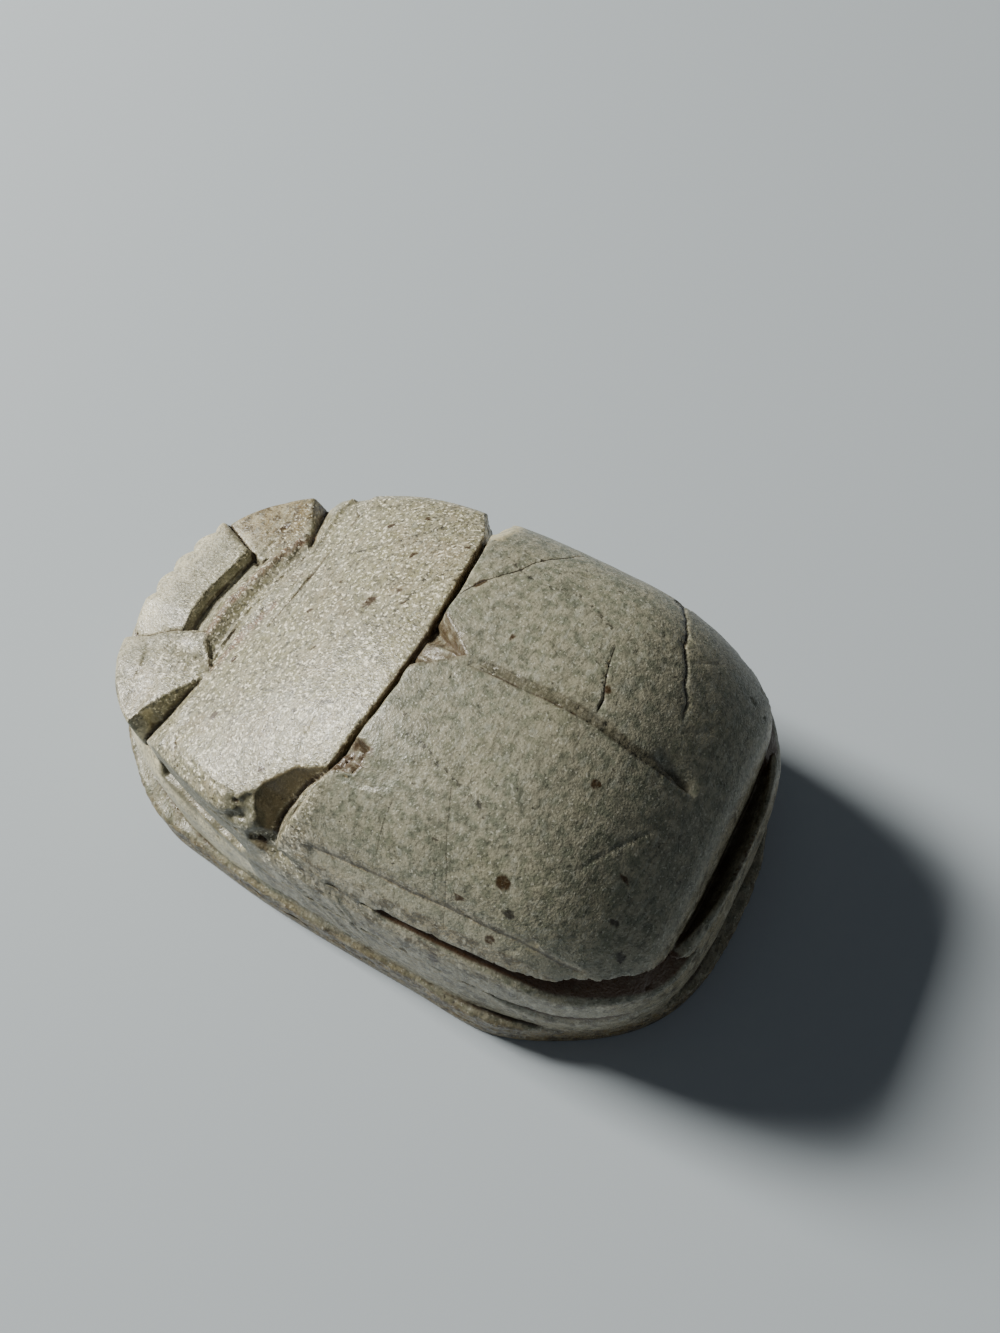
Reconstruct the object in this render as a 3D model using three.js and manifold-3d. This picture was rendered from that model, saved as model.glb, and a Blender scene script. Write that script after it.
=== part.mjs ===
// Scarab amulet carved from one piece of pale steatite: a base plate with a flat underside, the
// folded legs along its sides, the head with its plates, the pronotum and the two wing cases.
// Millimetres; x runs from the head (-) to the tail (+), y across, z up; the underside is z = 0.
import * as THREE from 'three';
import { mergeVertices } from 'three/addons/utils/BufferGeometryUtils.js';
import Module from 'manifold-3d';

const wasm = await Module();
wasm.setup();

// Overall form
const LENGTH = 20;
const WIDTH = 12.44;
const OUTLINE_POWER = 2.75; // superellipse power of the plan outline
const AROUND = 84; // points in one turn of the body
const SKY = 12; // height above everything, where cutters end

// Base plate
const PLATE_TOP = 1.6;
const PLATE_CHAMFER = 0.22;
const PLATE_SWELLS = [{ x: 5.2, reach: 1.8, out: 0.28 }, { x: -6.2, reach: 1.3, out: 0.18 }];

// Body wall and wing cases
const BODY_HALF_LENGTH = 9.5;
const BODY_HALF_WIDTH = 6.02;
const BODY_FRONT = 9.8; // the wall stands further out under the head
const FRONT_POWER = 2.45; // and is rounder there in plan
const BODY_TOP = 8.5;
const BODY_POWER = 3.3; // how squarely the side rolls over into the back
const WALL_POWER = 3.3; // plan outline of the wall, squarer than the plate's
const SHOULDER_POWER = 3.8; // and squarer still at the shoulder of the wing cases
const CASE_END = 8.72; // where the wing cases reach the tail
const CASE_END_POWER = 11;
const RIM_TOP = 5.35; // top of the rim that runs round behind the wing cases
const BACK_TILT = 0.055; // the back climbs towards the pronotum, mm per mm
// the back swells to its fullest at the crest and rounds down from there towards the tail
const BACK_SWELL = { crest: 4, height: 0.35, bend: 0.056, straight: 7.4 };

// Pronotum, the shield between head and wing cases
const SHIELD = { frontX: -5.9, frontZ: 5.08, rearX: 0.13, rearZ: 8.05, bulge: 0.33, crown: 1.5 };
const SHIELD_REAR = { x: -0.15, back: 0.5, power: 1.5, corner: 0.7, halfWidth: 5.4 };
const SHIELD_SIDE = { frontY: 4.8, rearY: 5.6, rearX: -1.8 };
const FURROW = { front: [-5.8, 4.98], rear: [-2.4, 5.72], width: 0.34, depth: 0.3 };
const CASE_FRONT = { x: 0.22, back: 1.06, power: 3, halfWidth: 5.5 };
const GROOVE_DEPTH = 0.6; // below the pronotum's rear edge
const SCUTELLUM = { halfWidth: 0.75, length: 1.05, top: 8.05 };

// Head
const HEAD = { centreX: -5.5, reach: 4.08, halfWidth: 4.75, power: 2.2, frontZ: 4.1, slope: 0.28 };
const CHEEK_GROOVE = { rear: [-6.6, 1.25], front: [-9.9, 2.5], width: 0.6, depth: 0.34 };
const CLYPEUS_HOLLOW = { x: -6.95, halfSpan: 1.35, width: 0.62, depth: 0.42 };
const COLLAR_GROOVE = { x: -6.12, halfSpan: 5.2, width: 0.42, depth: 0.3 };
const NECK_NOTCH = { inner: [-6.0, 2.3], outer: [-6.5, 5.2], width: 1.0, depth: 0.9 };
const SCALLOP = { count: 5, reach: 2.1, depth: 0.2 };

// Folded legs along the sides
const LEG_TOP = 4.05;
const LEG_FALL = { side: 0.35, sideY: 4.6, front: 0.12, frontX: -6 };
// slits in the wall; each knot gives x, height of its middle and height of its mouth
const SLITS = [
  { depth: 0.85, knots: [[2, 5.55, 0.3], [4.1, 5.6, 0.38], [5.5, 5.5, 0.62], [6.3, 5.32, 0.9],
    [7.4, 5.38, 1.05], [8, 5.2, 1], [8.5, 4.85, 0.8], [9, 4.6, 0.5], [9.25, 4.6, 0.1]] },
  { depth: 0.6, knots: [[5.1, 3.9, 0.1], [5.7, 3.5, 0.6], [6.3, 3.3, 1.05], [7, 3.2, 1.2],
    [7.8, 3.3, 1.1], [8.5, 3.4, 0.6], [9, 3.5, 0.1]] },
  { depth: 0.5, knots: [[-3, 1.9, 0.1], [-2, 1.98, 0.6], [-0.8, 2, 0.8], [0.4, 1.9, 0.5],
    [1.2, 1.8, 0.1]] },
];
const TAIL_SLOT = { halfSpan: 3.3, shift: 0.25, width: 0.5, depth: 1.1 };

// Lines on the wing cases
const SUTURE = { start: 1, end: 7.3, width: 0.42, depth: 0.16 };
const CASE_LINE = { start: -0.3, end: 7, frontY: 5.25, rearY: 4.7, width: 0.36, depth: 0.18 };

// Breaks: a scoop behind the pronotum's left corner, a smaller chip at its right
const LEFT_CHIP = {
  edge: [[-0.9, -3.76], [-1.34, -3.9], [-1.94, -4.55], [-2.04, -4.9], [-1.78, -5.6],
    [-1.68, -5.9]],
  fall: 1, // how steeply its floor drops towards the wing case
  lean: 0.5, // how far the wing case's front face leans over it
};
const RIGHT_CHIP = { x: -1.25, y: 5.5, z: 6.5, size: 0.8 };

// Stringing bore, head to tail
const BORE = { radius: 0.8, z: 2.75 };

const clamp = THREE.MathUtils.clamp;

/** Closed loft through rings of equal length, capped by fans, its faces turned outwards. */
function loft(rings) {
  const count = rings[0].length;
  const points = rings.flat();
  const middle = (ring) => ring.reduce((sum, p) => sum.add(p), new THREE.Vector3())
    .divideScalar(count);
  points.push(middle(rings[0]), middle(rings.at(-1)));
  const first = points.length - 2;
  const last = points.length - 1;
  const faces = [];
  for (let j = 0; j < count; j += 1) {
    const next = (j + 1) % count;
    faces.push(first, next, j);
    for (let k = 0; k + 1 < rings.length; k += 1) {
      const low = k * count;
      const high = low + count;
      faces.push(low + j, low + next, high + next, low + j, high + next, high + j);
    }
    const top = (rings.length - 1) * count;
    faces.push(last, top + j, top + next);
  }
  const geometry = new THREE.BufferGeometry().setFromPoints(points);
  geometry.setIndex(faces);
  return solid(geometry);
}

/** A manifold solid from any closed three.js geometry. */
function solid(geometry) {
  const bare = geometry.clone();
  bare.deleteAttribute('normal');
  bare.deleteAttribute('uv');
  const merged = mergeVertices(bare, 1e-4);
  const position = merged.attributes.position;
  const index = merged.index.array;
  const corners = [];
  let volume = 0;
  const a = new THREE.Vector3();
  const b = new THREE.Vector3();
  const c = new THREE.Vector3();
  for (let i = 0; i < index.length; i += 3) {
    const [p, q, r] = index.slice(i, i + 3);
    if (p === q || q === r || r === p) continue;
    corners.push([p, q, r]);
    a.fromBufferAttribute(position, p);
    b.fromBufferAttribute(position, q);
    c.fromBufferAttribute(position, r);
    volume += a.dot(b.cross(c));
  }
  const turned = corners.map(([p, q, r]) => (volume < 0 ? [p, r, q] : [p, q, r]));
  return new wasm.Manifold(new wasm.Mesh({
    numProp: 3,
    vertProperties: new Float32Array(position.array),
    triVerts: new Uint32Array(turned.flat()),
  }));
}

/** Radius of a superellipse in the direction of an angle. */
function superRadius(angle, halfLength, halfWidth, power) {
  const x = Math.abs(Math.cos(angle) / halfLength) ** power;
  const y = Math.abs(Math.sin(angle) / halfWidth) ** power;
  return (x + y) ** (-1 / power);
}

/** One ring of points at a height, its radius given by a function of the angle. */
function ring(radius, z) {
  const points = [];
  for (let j = 0; j < AROUND; j += 1) {
    const angle = (j / AROUND) * 2 * Math.PI;
    const r = radius(angle);
    points.push(new THREE.Vector3(r * Math.cos(angle), r * Math.sin(angle), z));
  }
  return points;
}

/** How much of its full spread the body keeps at a height. */
function spread(z) {
  const rise = clamp((z - PLATE_TOP) / (BODY_TOP - PLATE_TOP), 0, 1);
  return (1 - rise ** BODY_POWER) ** (1 / BODY_POWER);
}

/** Power of the body's plan outline behind the middle, at a height. */
function planPower(z) {
  return WALL_POWER + (SHOULDER_POWER - WALL_POWER) * clamp((z - PLATE_TOP) / 5.4, 0, 1);
}

/** Radius of the body in plan; the front keeps its full length all the way up. */
function bodyRadius(angle, z, halfLength) {
  const halfWidth = BODY_HALF_WIDTH * spread(z);
  if (Math.cos(angle) < 0) return superRadius(angle, BODY_FRONT, halfWidth, FRONT_POWER);
  return superRadius(angle, halfLength, halfWidth, planPower(z));
}

/** Radius of the body wall, up to the rim. */
function wallRadius(angle, z) {
  return bodyRadius(angle, z, BODY_HALF_LENGTH * spread(z));
}

/** Radius of the wing cases: square-shouldered to the sides, blunt towards the tail. */
function caseRadius(angle, z) {
  const room = spread(z) ** BODY_POWER;
  const end = Math.cos(angle) < 0 ? LENGTH : CASE_END;
  const over = (r) => Math.abs((r * Math.sin(angle)) / BODY_HALF_WIDTH) ** BODY_POWER
    + Math.abs((r * Math.cos(angle)) / end) ** CASE_END_POWER > room;
  let low = 0;
  let high = LENGTH;
  for (let i = 0; i < 40; i += 1) {
    const r = (low + high) / 2;
    if (over(r)) high = r;
    else low = r;
  }
  return low;
}

/** How far the back swells above an even slope, or falls below it towards the tail. */
function swell(x) {
  const { crest, height, bend, straight } = BACK_SWELL;
  const before = 1 - clamp(x / crest, 0, 1);
  const run = clamp(x - crest, 0, straight - crest);
  const beyond = Math.max(0, x - straight);
  return height * (1 - before ** 2) - bend * run * (run + 2 * beyond);
}

/** The back's slow climb towards the pronotum and its swell, laid over a height. */
function tilted(x, z) {
  const rise = Math.max(0, z - RIM_TOP) / (BODY_TOP - RIM_TOP);
  return z + rise * (BACK_TILT * (5 - x) + swell(x));
}

/** Radius of the plate's outline, which swells a little in two places on its near side. */
function plateRadius(angle) {
  const r = superRadius(angle, LENGTH / 2, WIDTH / 2, OUTLINE_POWER);
  if (Math.sin(angle) > 0) return r;
  const bulge = ({ x, reach, out }) => out * Math.exp(-(((r * Math.cos(angle) - x) / reach) ** 2));
  return r + PLATE_SWELLS.reduce((sum, place) => sum + bulge(place), 0) * Math.sin(angle) ** 2;
}

/** The plate that the beetle sits on, flat below, its edges slightly worn. */
function basePlate() {
  const edge = (inset) => (angle) => plateRadius(angle) - inset;
  return loft([
    ring(edge(PLATE_CHAMFER / 2), 0),
    ring(edge(0), PLATE_CHAMFER),
    ring(edge(0.05), PLATE_TOP - PLATE_CHAMFER),
    ring(edge(PLATE_CHAMFER), PLATE_TOP),
  ]);
}

/** The beetle's body before its carving: wall, rim and wing cases in one. */
function bodyBlank() {
  const wallLevels = [PLATE_TOP - 0.5, 2.9, 4.2, RIM_TOP];
  const caseLevels = [RIM_TOP, 6, 6.6, 7.1, 7.5, 7.85, 8.1, 8.3, 8.42, 8.48, 8.498];
  const rings = wallLevels.map((z) => ring((angle) => wallRadius(angle, z), z));
  for (const z of caseLevels) {
    const side = (angle) => bodyRadius(angle, z, BODY_HALF_LENGTH);
    rings.push(ring((angle) => Math.min(side(angle), caseRadius(angle, z)), z));
  }
  const topRing = rings.at(-1);
  for (const share of [0.7, 0.4, 0.15]) {
    rings.push(topRing.map((point) => new THREE.Vector3(point.x * share, point.y * share, point.z)));
  }
  for (const point of rings.flat()) point.z = tilted(point.x, point.z);
  return loft(rings);
}

/** All the space above a surface z = height(x, y), over a rectangle. */
function above(height, from, to, cells) {
  const size = [to[0] - from[0], to[1] - from[1]];
  const box = new THREE.BoxGeometry(size[0], size[1], 2, cells[0], cells[1], 1);
  box.translate((from[0] + to[0]) / 2, (from[1] + to[1]) / 2, 0);
  const position = box.attributes.position;
  for (let i = 0; i < position.count; i += 1) {
    const lower = position.getZ(i) < 0;
    position.setZ(i, lower ? height(position.getX(i), position.getY(i)) : SKY);
  }
  return solid(box);
}

/** A prism over a plan outline, between two heights. */
function prism(points, low, high) {
  const shape = new THREE.Shape(points.map(([x, y]) => new THREE.Vector2(x, y)));
  const geometry = new THREE.ExtrudeGeometry(shape, { depth: high - low, bevelEnabled: false });
  geometry.translate(0, 0, low);
  return solid(geometry);
}

/** Rear edge of the pronotum in plan, its corners rounded forward. */
function shieldRearX(y) {
  const across = Math.min(Math.abs(y) / SHIELD_REAR.halfWidth, 1.03);
  return SHIELD_REAR.x - SHIELD_REAR.back * (across * 1.35) ** SHIELD_REAR.power
    - SHIELD_REAR.corner * across ** 12;
}

/** Front edge of the wing cases in plan. */
function caseFrontX(y) {
  return CASE_FRONT.x - CASE_FRONT.back * (Math.abs(y) / CASE_FRONT.halfWidth) ** CASE_FRONT.power;
}

/** Upper surface of the pronotum. */
function shieldZ(x, y) {
  const t = (x - SHIELD.frontX) / (SHIELD.rearX - SHIELD.frontX);
  const along = SHIELD.frontZ + (SHIELD.rearZ - SHIELD.frontZ) * t + SHIELD.bulge * 4 * t * (1 - t);
  const drop = SHIELD.crown * Math.max(t, 0) * (Math.abs(y) / SHIELD_REAR.halfWidth) ** 2.2;
  return along - drop;
}

/** Upper surface of the wing cases. */
function caseZ(x, y) {
  const plan = x < 0 ? FRONT_POWER : SHOULDER_POWER - 0.15;
  const reach = x < 0 ? BODY_FRONT : BODY_HALF_LENGTH;
  const across = Math.abs(y) / BODY_HALF_WIDTH;
  const side = across / (1 - Math.min(Math.abs(x) / reach, 0.99) ** plan) ** (1 / plan);
  const end = across ** BODY_POWER + (Math.max(x, 0) / CASE_END) ** CASE_END_POWER;
  const room = Math.max(0.01, 1 - Math.max(side ** BODY_POWER, end));
  return tilted(x, PLATE_TOP + (BODY_TOP - PLATE_TOP) * room ** (1 / BODY_POWER));
}

/** Plan points along a curve x = at(y), from one side to the other. */
function curve(at, reach, steps) {
  const points = [];
  for (let i = 0; i <= steps; i += 1) {
    const y = reach * (1 - (2 * i) / steps);
    points.push([at(y), y]);
  }
  return points;
}

/** Everything over the pronotum, ahead of its rear edge. */
function overShield() {
  const front = SHIELD.frontX;
  const edge = curve(shieldRearX, 7, 28);
  const region = prism([...edge, [front, -7], [front, 7]], 0, SKY);
  return above(shieldZ, [front - 0.5, -7], [1, 7], [10, 14]).intersect(region);
}

/** Upper surface of the head: one slope, parted into plates by the grooves cut in it. */
function headZ(x) {
  return HEAD.frontZ + HEAD.slope * (x - HEAD.centreX + HEAD.reach);
}

/** Everything over the head, ahead of the pronotum. */
function overHead() {
  const region = prism([[SHIELD.frontX, -7], [SHIELD.frontX, 7], [-12, 7], [-12, -7]], 0, SKY);
  return above(headZ, [-10.2, -6], [-5.6, 6], [2, 2]).intersect(region);
}

/** Plan outline of head and pronotum where they stand above the folded forelegs. */
function upperOutline() {
  const rearX = SHIELD_SIDE.rearX - 0.3;
  const points = [[rearX, SHIELD_SIDE.rearY], [SHIELD.frontX, SHIELD_SIDE.frontY]];
  points.push([SHIELD.frontX - 0.2, SHIELD_SIDE.frontY - 0.75]);
  const steps = 30;
  for (let i = 1; i < steps; i += 1) {
    const angle = Math.PI / 2 + (i / steps) * Math.PI;
    const r = superRadius(angle, HEAD.reach, HEAD.halfWidth, HEAD.power);
    const y = r * Math.sin(angle);
    const phase = (Math.PI * SCALLOP.count * (y + SCALLOP.reach)) / (2 * SCALLOP.reach);
    const wave = Math.abs(y) < SCALLOP.reach ? SCALLOP.depth * Math.abs(Math.sin(phase)) : 0;
    const x = HEAD.centreX + r * Math.cos(angle) - wave + SCALLOP.depth;
    if (x < SHIELD.frontX - 0.4) points.push([x, y]);
  }
  points.push([SHIELD.frontX - 0.2, 0.75 - SHIELD_SIDE.frontY]);
  points.push([SHIELD.frontX, -SHIELD_SIDE.frontY], [rearX, -SHIELD_SIDE.rearY]);
  return points;
}

/** Rounded top of the folded foreleg. */
function legTop(x, y) {
  return LEG_TOP - LEG_FALL.side * Math.max(0, Math.abs(y) - LEG_FALL.sideY)
    - LEG_FALL.front * Math.max(0, LEG_FALL.frontX - x);
}

/** The step outside head and pronotum, down to the folded foreleg. */
function besideHead() {
  const rearX = SHIELD_SIDE.rearX - 0.3;
  const kept = prism(upperOutline(), -1, SKY + 1);
  return above(legTop, [-12, -8], [rearX, 8], [10, 16]).subtract(kept);
}

/** Cutter for a groove: each section is given by its two lips and its bottom. */
function grooveCutter(sections) {
  return loft(sections.map(([left, bottom, right]) => {
    return [left.clone().setZ(SKY), left, bottom, right, right.clone().setZ(SKY)];
  }));
}

/** The deep groove between pronotum and wing cases. */
function shieldGroove() {
  const sections = curve(shieldRearX, 7, 28).map(([x, y]) => {
    const rear = caseFrontX(y);
    const z = shieldZ(x, y);
    return [
      new THREE.Vector3(x - 0.04, y, z + 0.03),
      new THREE.Vector3((x + rear) / 2, y, z - GROOVE_DEPTH),
      new THREE.Vector3(rear + 0.02, y, Math.max(caseZ(rear, y) - 0.15, z - GROOVE_DEPTH / 2)),
    ];
  });
  return grooveCutter(sections);
}

/** Three-cornered hollow where the scutellum lies, low and broken, between the wing cases. */
function scutellumHollow() {
  const { halfWidth, length, top } = SCUTELLUM;
  const tip = CASE_FRONT.x + length;
  return prism([[-0.3, -halfWidth], [CASE_FRONT.x, -halfWidth], [tip, 0], [CASE_FRONT.x, halfWidth],
    [-0.3, halfWidth]], top, SKY);
}

/** Cutter for a line or groove sunk into a surface along plan points, fading at its ends. */
function surfaceGroove(plan, height, width, depth) {
  const last = plan.length - 1;
  const sections = plan.map(([x, y], i) => {
    const ahead = plan[Math.min(i + 1, last)];
    const behind = plan[Math.max(i - 1, 0)];
    const across = new THREE.Vector2(behind[1] - ahead[1], ahead[0] - behind[0]).normalize();
    const open = Math.min(1, 0.25 + Math.min(i, last - i) / 2);
    const lip = (side) => {
      const px = x + across.x * side * (width / 2) * open;
      const py = y + across.y * side * (width / 2) * open;
      return new THREE.Vector3(px, py, height(px, py));
    };
    return [lip(1), new THREE.Vector3(x, y, height(x, y) - depth * open), lip(-1)];
  });
  return grooveCutter(sections);
}

/** Plan points on a straight line. */
function line(from, to, steps) {
  const points = [];
  for (let i = 0; i <= steps; i += 1) {
    const t = i / steps;
    points.push([from[0] + (to[0] - from[0]) * t, from[1] + (to[1] - from[1]) * t]);
  }
  return points;
}

/** Grooves that part the head into clypeus, cheeks and collar. */
function headGrooves() {
  const hollow = CLYPEUS_HOLLOW;
  const collar = COLLAR_GROOVE;
  const cutters = [
    surfaceGroove(line([hollow.x, -hollow.halfSpan], [hollow.x, hollow.halfSpan], 6), headZ,
      hollow.width, hollow.depth),
    surfaceGroove(line([collar.x, -collar.halfSpan], [collar.x, collar.halfSpan], 12), headZ,
      collar.width, collar.depth),
  ];
  for (const side of [-1, 1]) {
    for (const [from, to, cut] of [[CHEEK_GROOVE.rear, CHEEK_GROOVE.front, CHEEK_GROOVE],
      [NECK_NOTCH.inner, NECK_NOTCH.outer, NECK_NOTCH]]) {
      const path = line([from[0], side * from[1]], [to[0], side * to[1]], 6);
      cutters.push(surfaceGroove(path, headZ, cut.width, cut.depth));
    }
  }
  return cutters;
}

/** Lines cut in the wing cases: the suture between them and one along each side. */
function caseLines() {
  const cutters = [surfaceGroove(line([SUTURE.start, 0], [SUTURE.end, 0], 14), caseZ,
    SUTURE.width, SUTURE.depth)];
  for (const side of [-1, 1]) {
    const from = [CASE_LINE.start, side * CASE_LINE.frontY];
    const to = [CASE_LINE.end, side * CASE_LINE.rearY];
    cutters.push(surfaceGroove(line(from, to, 14), caseZ, CASE_LINE.width, CASE_LINE.depth));
  }
  return cutters;
}

/** Scoop behind the pronotum's left corner, its floor sloping down to the wing case. */
function leftChip() {
  const { edge, fall, lean } = LEFT_CHIP;
  const sections = edge.map(([x, y]) => {
    const lip = shieldZ(x, y);
    const rear = caseFrontX(y);
    const top = caseZ(rear, y);
    const foot = (rear - lean * (top - lip) + lean * fall * x) / (1 + lean * fall);
    return [
      new THREE.Vector3(x, y, lip + 0.05),
      new THREE.Vector3(foot, y, lip - fall * (foot - x)),
      new THREE.Vector3(rear, y, top),
    ];
  });
  const outside = sections.at(-1).map((point) => point.clone().setY(-WIDTH));
  return grooveCutter([...sections, outside]);
}

/** The furrow along each side of the pronotum, above the foreleg. */
function furrow(side) {
  const { front, rear, width, depth } = FURROW;
  return surfaceGroove(line([front[0], side * front[1]], [rear[0], side * rear[1]], 12), legTop,
    width, depth);
}

/** Small angular chip at the pronotum's right rear corner. */
function rightChip() {
  const block = new THREE.BoxGeometry(RIGHT_CHIP.size, RIGHT_CHIP.size * 1.6, RIGHT_CHIP.size * 1.4);
  block.rotateZ(Math.PI / 5);
  block.rotateX(Math.PI / 7);
  block.translate(RIGHT_CHIP.x, RIGHT_CHIP.y, RIGHT_CHIP.z);
  return solid(block);
}

/** Straight interpolation of one column of a slit's knots. */
function atKnots(knots, x, column) {
  const after = clamp(knots.findIndex((knot) => knot[0] > x), 1, knots.length - 1);
  const [a, b] = [knots[after - 1], knots[after]];
  return a[column] + ((b[column] - a[column]) * (x - a[0])) / (b[0] - a[0]);
}

/** Undercut wedge in the side wall: level above, its floor sloping out and down. */
function wallSlit({ depth, knots }, side) {
  const steps = 26;
  const room = 0.5; // how far the cutter stands out of the wall
  const tallest = Math.max(...knots.map((knot) => knot[2]));
  const rings = [];
  for (let i = 0; i <= steps; i += 1) {
    const x = knots[0][0] + ((knots.at(-1)[0] - knots[0][0]) * i) / steps;
    const z = atKnots(knots, x, 1);
    const height = atKnots(knots, x, 2);
    const angle = wallAngle(x, z) * side;
    const r = wallRadius(angle, z);
    const out = new THREE.Vector3(Math.cos(angle) / 2.4, Math.sin(angle), 0).normalize();
    const at = new THREE.Vector3(r * Math.cos(angle), r * Math.sin(angle), z);
    const reach = depth * Math.sqrt(height / tallest);
    const mouth = at.clone().addScaledVector(out, room);
    const top = z + height / 2;
    rings.push([
      mouth.clone().setZ(top),
      at.clone().addScaledVector(out, -reach).setZ(top - 0.02),
      mouth.clone().setZ(z - height * (0.5 + room / reach)),
    ]);
  }
  return loft(rings);
}

/** Angle at which the body wall passes a given x, at a height. */
function wallAngle(x, z) {
  let low = 0;
  let high = Math.PI;
  for (let i = 0; i < 40; i += 1) {
    const angle = (low + high) / 2;
    if (wallRadius(angle, z) * Math.cos(angle) > x) low = angle;
    else high = angle;
  }
  return low;
}

/** Slot under the ends of the wing cases, behind the rim. */
function tailSlot() {
  const steps = 16;
  const rings = [];
  for (let i = 0; i <= steps; i += 1) {
    const across = (2 * i) / steps - 1;
    const y = TAIL_SLOT.shift + TAIL_SLOT.halfSpan * across;
    const opening = Math.max(0.05, 1 - across ** 2);
    const angle = Math.atan2(y, CASE_END);
    const r = caseRadius(angle, RIM_TOP + 0.4) + 0.02;
    const x = r * Math.cos(angle);
    const half = TAIL_SLOT.width * opening;
    rings.push([
      new THREE.Vector3(x - 0.12, y, RIM_TOP + 0.9),
      new THREE.Vector3(x - 0.15, y, RIM_TOP + 0.25 * opening),
      new THREE.Vector3(x - 0.5 * opening, y, RIM_TOP - TAIL_SLOT.depth * opening),
      new THREE.Vector3(x + half, y, RIM_TOP + 0.3),
    ]);
  }
  return loft(rings);
}

/** Round bore for the string, from head to tail. */
function bore() {
  const drill = new THREE.CylinderGeometry(BORE.radius, BORE.radius, LENGTH + 4, 20);
  drill.rotateZ(Math.PI / 2);
  drill.translate(0, 0, BORE.z);
  return solid(drill);
}

/** The carved amulet as one solid. */
function scarab() {
  const cutters = [overShield(), overHead(), besideHead(), ...headGrooves(), shieldGroove(),
    scutellumHollow(), ...caseLines(), tailSlot(), leftChip(), rightChip(), bore()];
  for (const side of [-1, 1]) {
    cutters.push(furrow(side), ...SLITS.map((slit) => wallSlit(slit, side)));
  }
  let body = bodyBlank();
  for (const cutter of cutters) body = body.subtract(cutter);
  return body.add(basePlate());
}

/** A three.js geometry from a manifold solid. */
function geometryOf(manifold) {
  const mesh = manifold.getMesh();
  const geometry = new THREE.BufferGeometry();
  geometry.setAttribute('position', new THREE.BufferAttribute(mesh.vertProperties, 3));
  geometry.setIndex(new THREE.BufferAttribute(mesh.triVerts, 1));
  geometry.computeVertexNormals();
  return geometry;
}

const steatite = new THREE.MeshStandardMaterial({ color: 0xb9b39c, roughness: 0.62, metalness: 0 });
const amulet = new THREE.Mesh(geometryOf(scarab()), steatite);
amulet.name = 'scarab';
const group = new THREE.Group();
group.add(amulet);
export default group;
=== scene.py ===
"""Scarab amulet carved from one piece of pale steatite, worn, chipped and cracked by age.

The stone is a field in millimetres: negative inside, positive outside, about one millimetre per
millimetre near its skin. Each part of the beetle adds its form to the field, the breaks and graver
lines are cut out of it, and the skin is meshed from it. x runs from head (-) to tail (+), y across
(the near side is -), z up, with the flat underside at z = 0.
"""
import logging
import math
from collections.abc import Callable
from dataclasses import dataclass, field
from enum import Enum
from itertools import pairwise

import bpy
import numpy as np
from mathutils import Matrix, Vector


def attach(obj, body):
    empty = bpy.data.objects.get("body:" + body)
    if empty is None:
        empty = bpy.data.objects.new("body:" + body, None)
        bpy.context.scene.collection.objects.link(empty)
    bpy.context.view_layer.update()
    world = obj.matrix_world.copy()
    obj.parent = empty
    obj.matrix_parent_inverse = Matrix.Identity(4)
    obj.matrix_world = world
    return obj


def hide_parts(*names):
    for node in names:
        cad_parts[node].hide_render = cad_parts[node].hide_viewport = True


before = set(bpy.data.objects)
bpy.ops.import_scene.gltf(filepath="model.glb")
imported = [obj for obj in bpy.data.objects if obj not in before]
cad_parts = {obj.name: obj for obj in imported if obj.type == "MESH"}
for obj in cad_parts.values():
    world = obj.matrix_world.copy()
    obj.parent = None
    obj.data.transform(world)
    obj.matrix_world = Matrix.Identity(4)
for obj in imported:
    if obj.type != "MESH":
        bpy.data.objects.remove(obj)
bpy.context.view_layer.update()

logging.basicConfig(level=logging.INFO, format="%(message)s")
log = logging.getLogger("scarab")

MM = 0.001  # metres in a millimetre
Array = np.ndarray
Path = tuple[tuple[float, float], ...]


class Side(Enum):
    """The beetle's two sides."""

    NEAR = -1
    FAR = 1


class Profile(Enum):
    """Cross-section of a cut: a plain V, a rounded furrow, or a V with one long flank."""

    VEE = "vee"
    ROUND = "round"
    FLANK = "flank"


class Tone(Enum):
    """Colour family of an inclusion in the stone."""

    RUST = "rust"
    DARK = "dark"


@dataclass
class Points:
    """Places in the stone, in millimetres."""

    x: Array
    y: Array
    z: Array

    def moved(self, dx: float, dy: float, dz: float) -> "Points":
        """The same places, shifted."""
        return Points(self.x + dx, self.y + dy, self.z + dz)

    def where(self, mask: Array) -> "Points":
        """The places that a mask picks."""
        return Points(self.x[mask], self.y[mask], self.z[mask])


def blend_max(a: Array, b: Array, width: float) -> Array:
    """Overlap of two forms, its edge worn round.

    Args:
        a: First field.
        b: Second field.
        width: How far the wear reaches, in millimetres.

    Returns:
        The field of what lies in both.
    """
    near = np.maximum(width - np.abs(a - b), 0.0) / width
    return np.maximum(a, b) + near * near * width * 0.25


def blend_min(a: Array, b: Array, width: float) -> Array:
    """Union of two forms, the corner between them filled a little."""
    return -blend_max(-a, -b, width)


def ramp(value: Array, low: float, high: float) -> Array:
    """Smooth rise from 0 at low to 1 at high; high may be the smaller one."""
    t = np.clip((value - low) / (high - low), 0.0, 1.0)
    return t * t * (3 - 2 * t)


class Lattice:
    """Seeded random numbers on a repeating lattice, for smooth value noise."""

    size = 32
    numbers = np.random.default_rng(20).uniform(-1, 1, size**3).astype(np.float32)

    @classmethod
    def at(cls, i: Array, j: Array, k: Array) -> Array:
        """Numbers at whole lattice places."""
        last = cls.size - 1
        return cls.numbers[((i & last) * cls.size + (j & last)) * cls.size + (k & last)]


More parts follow.
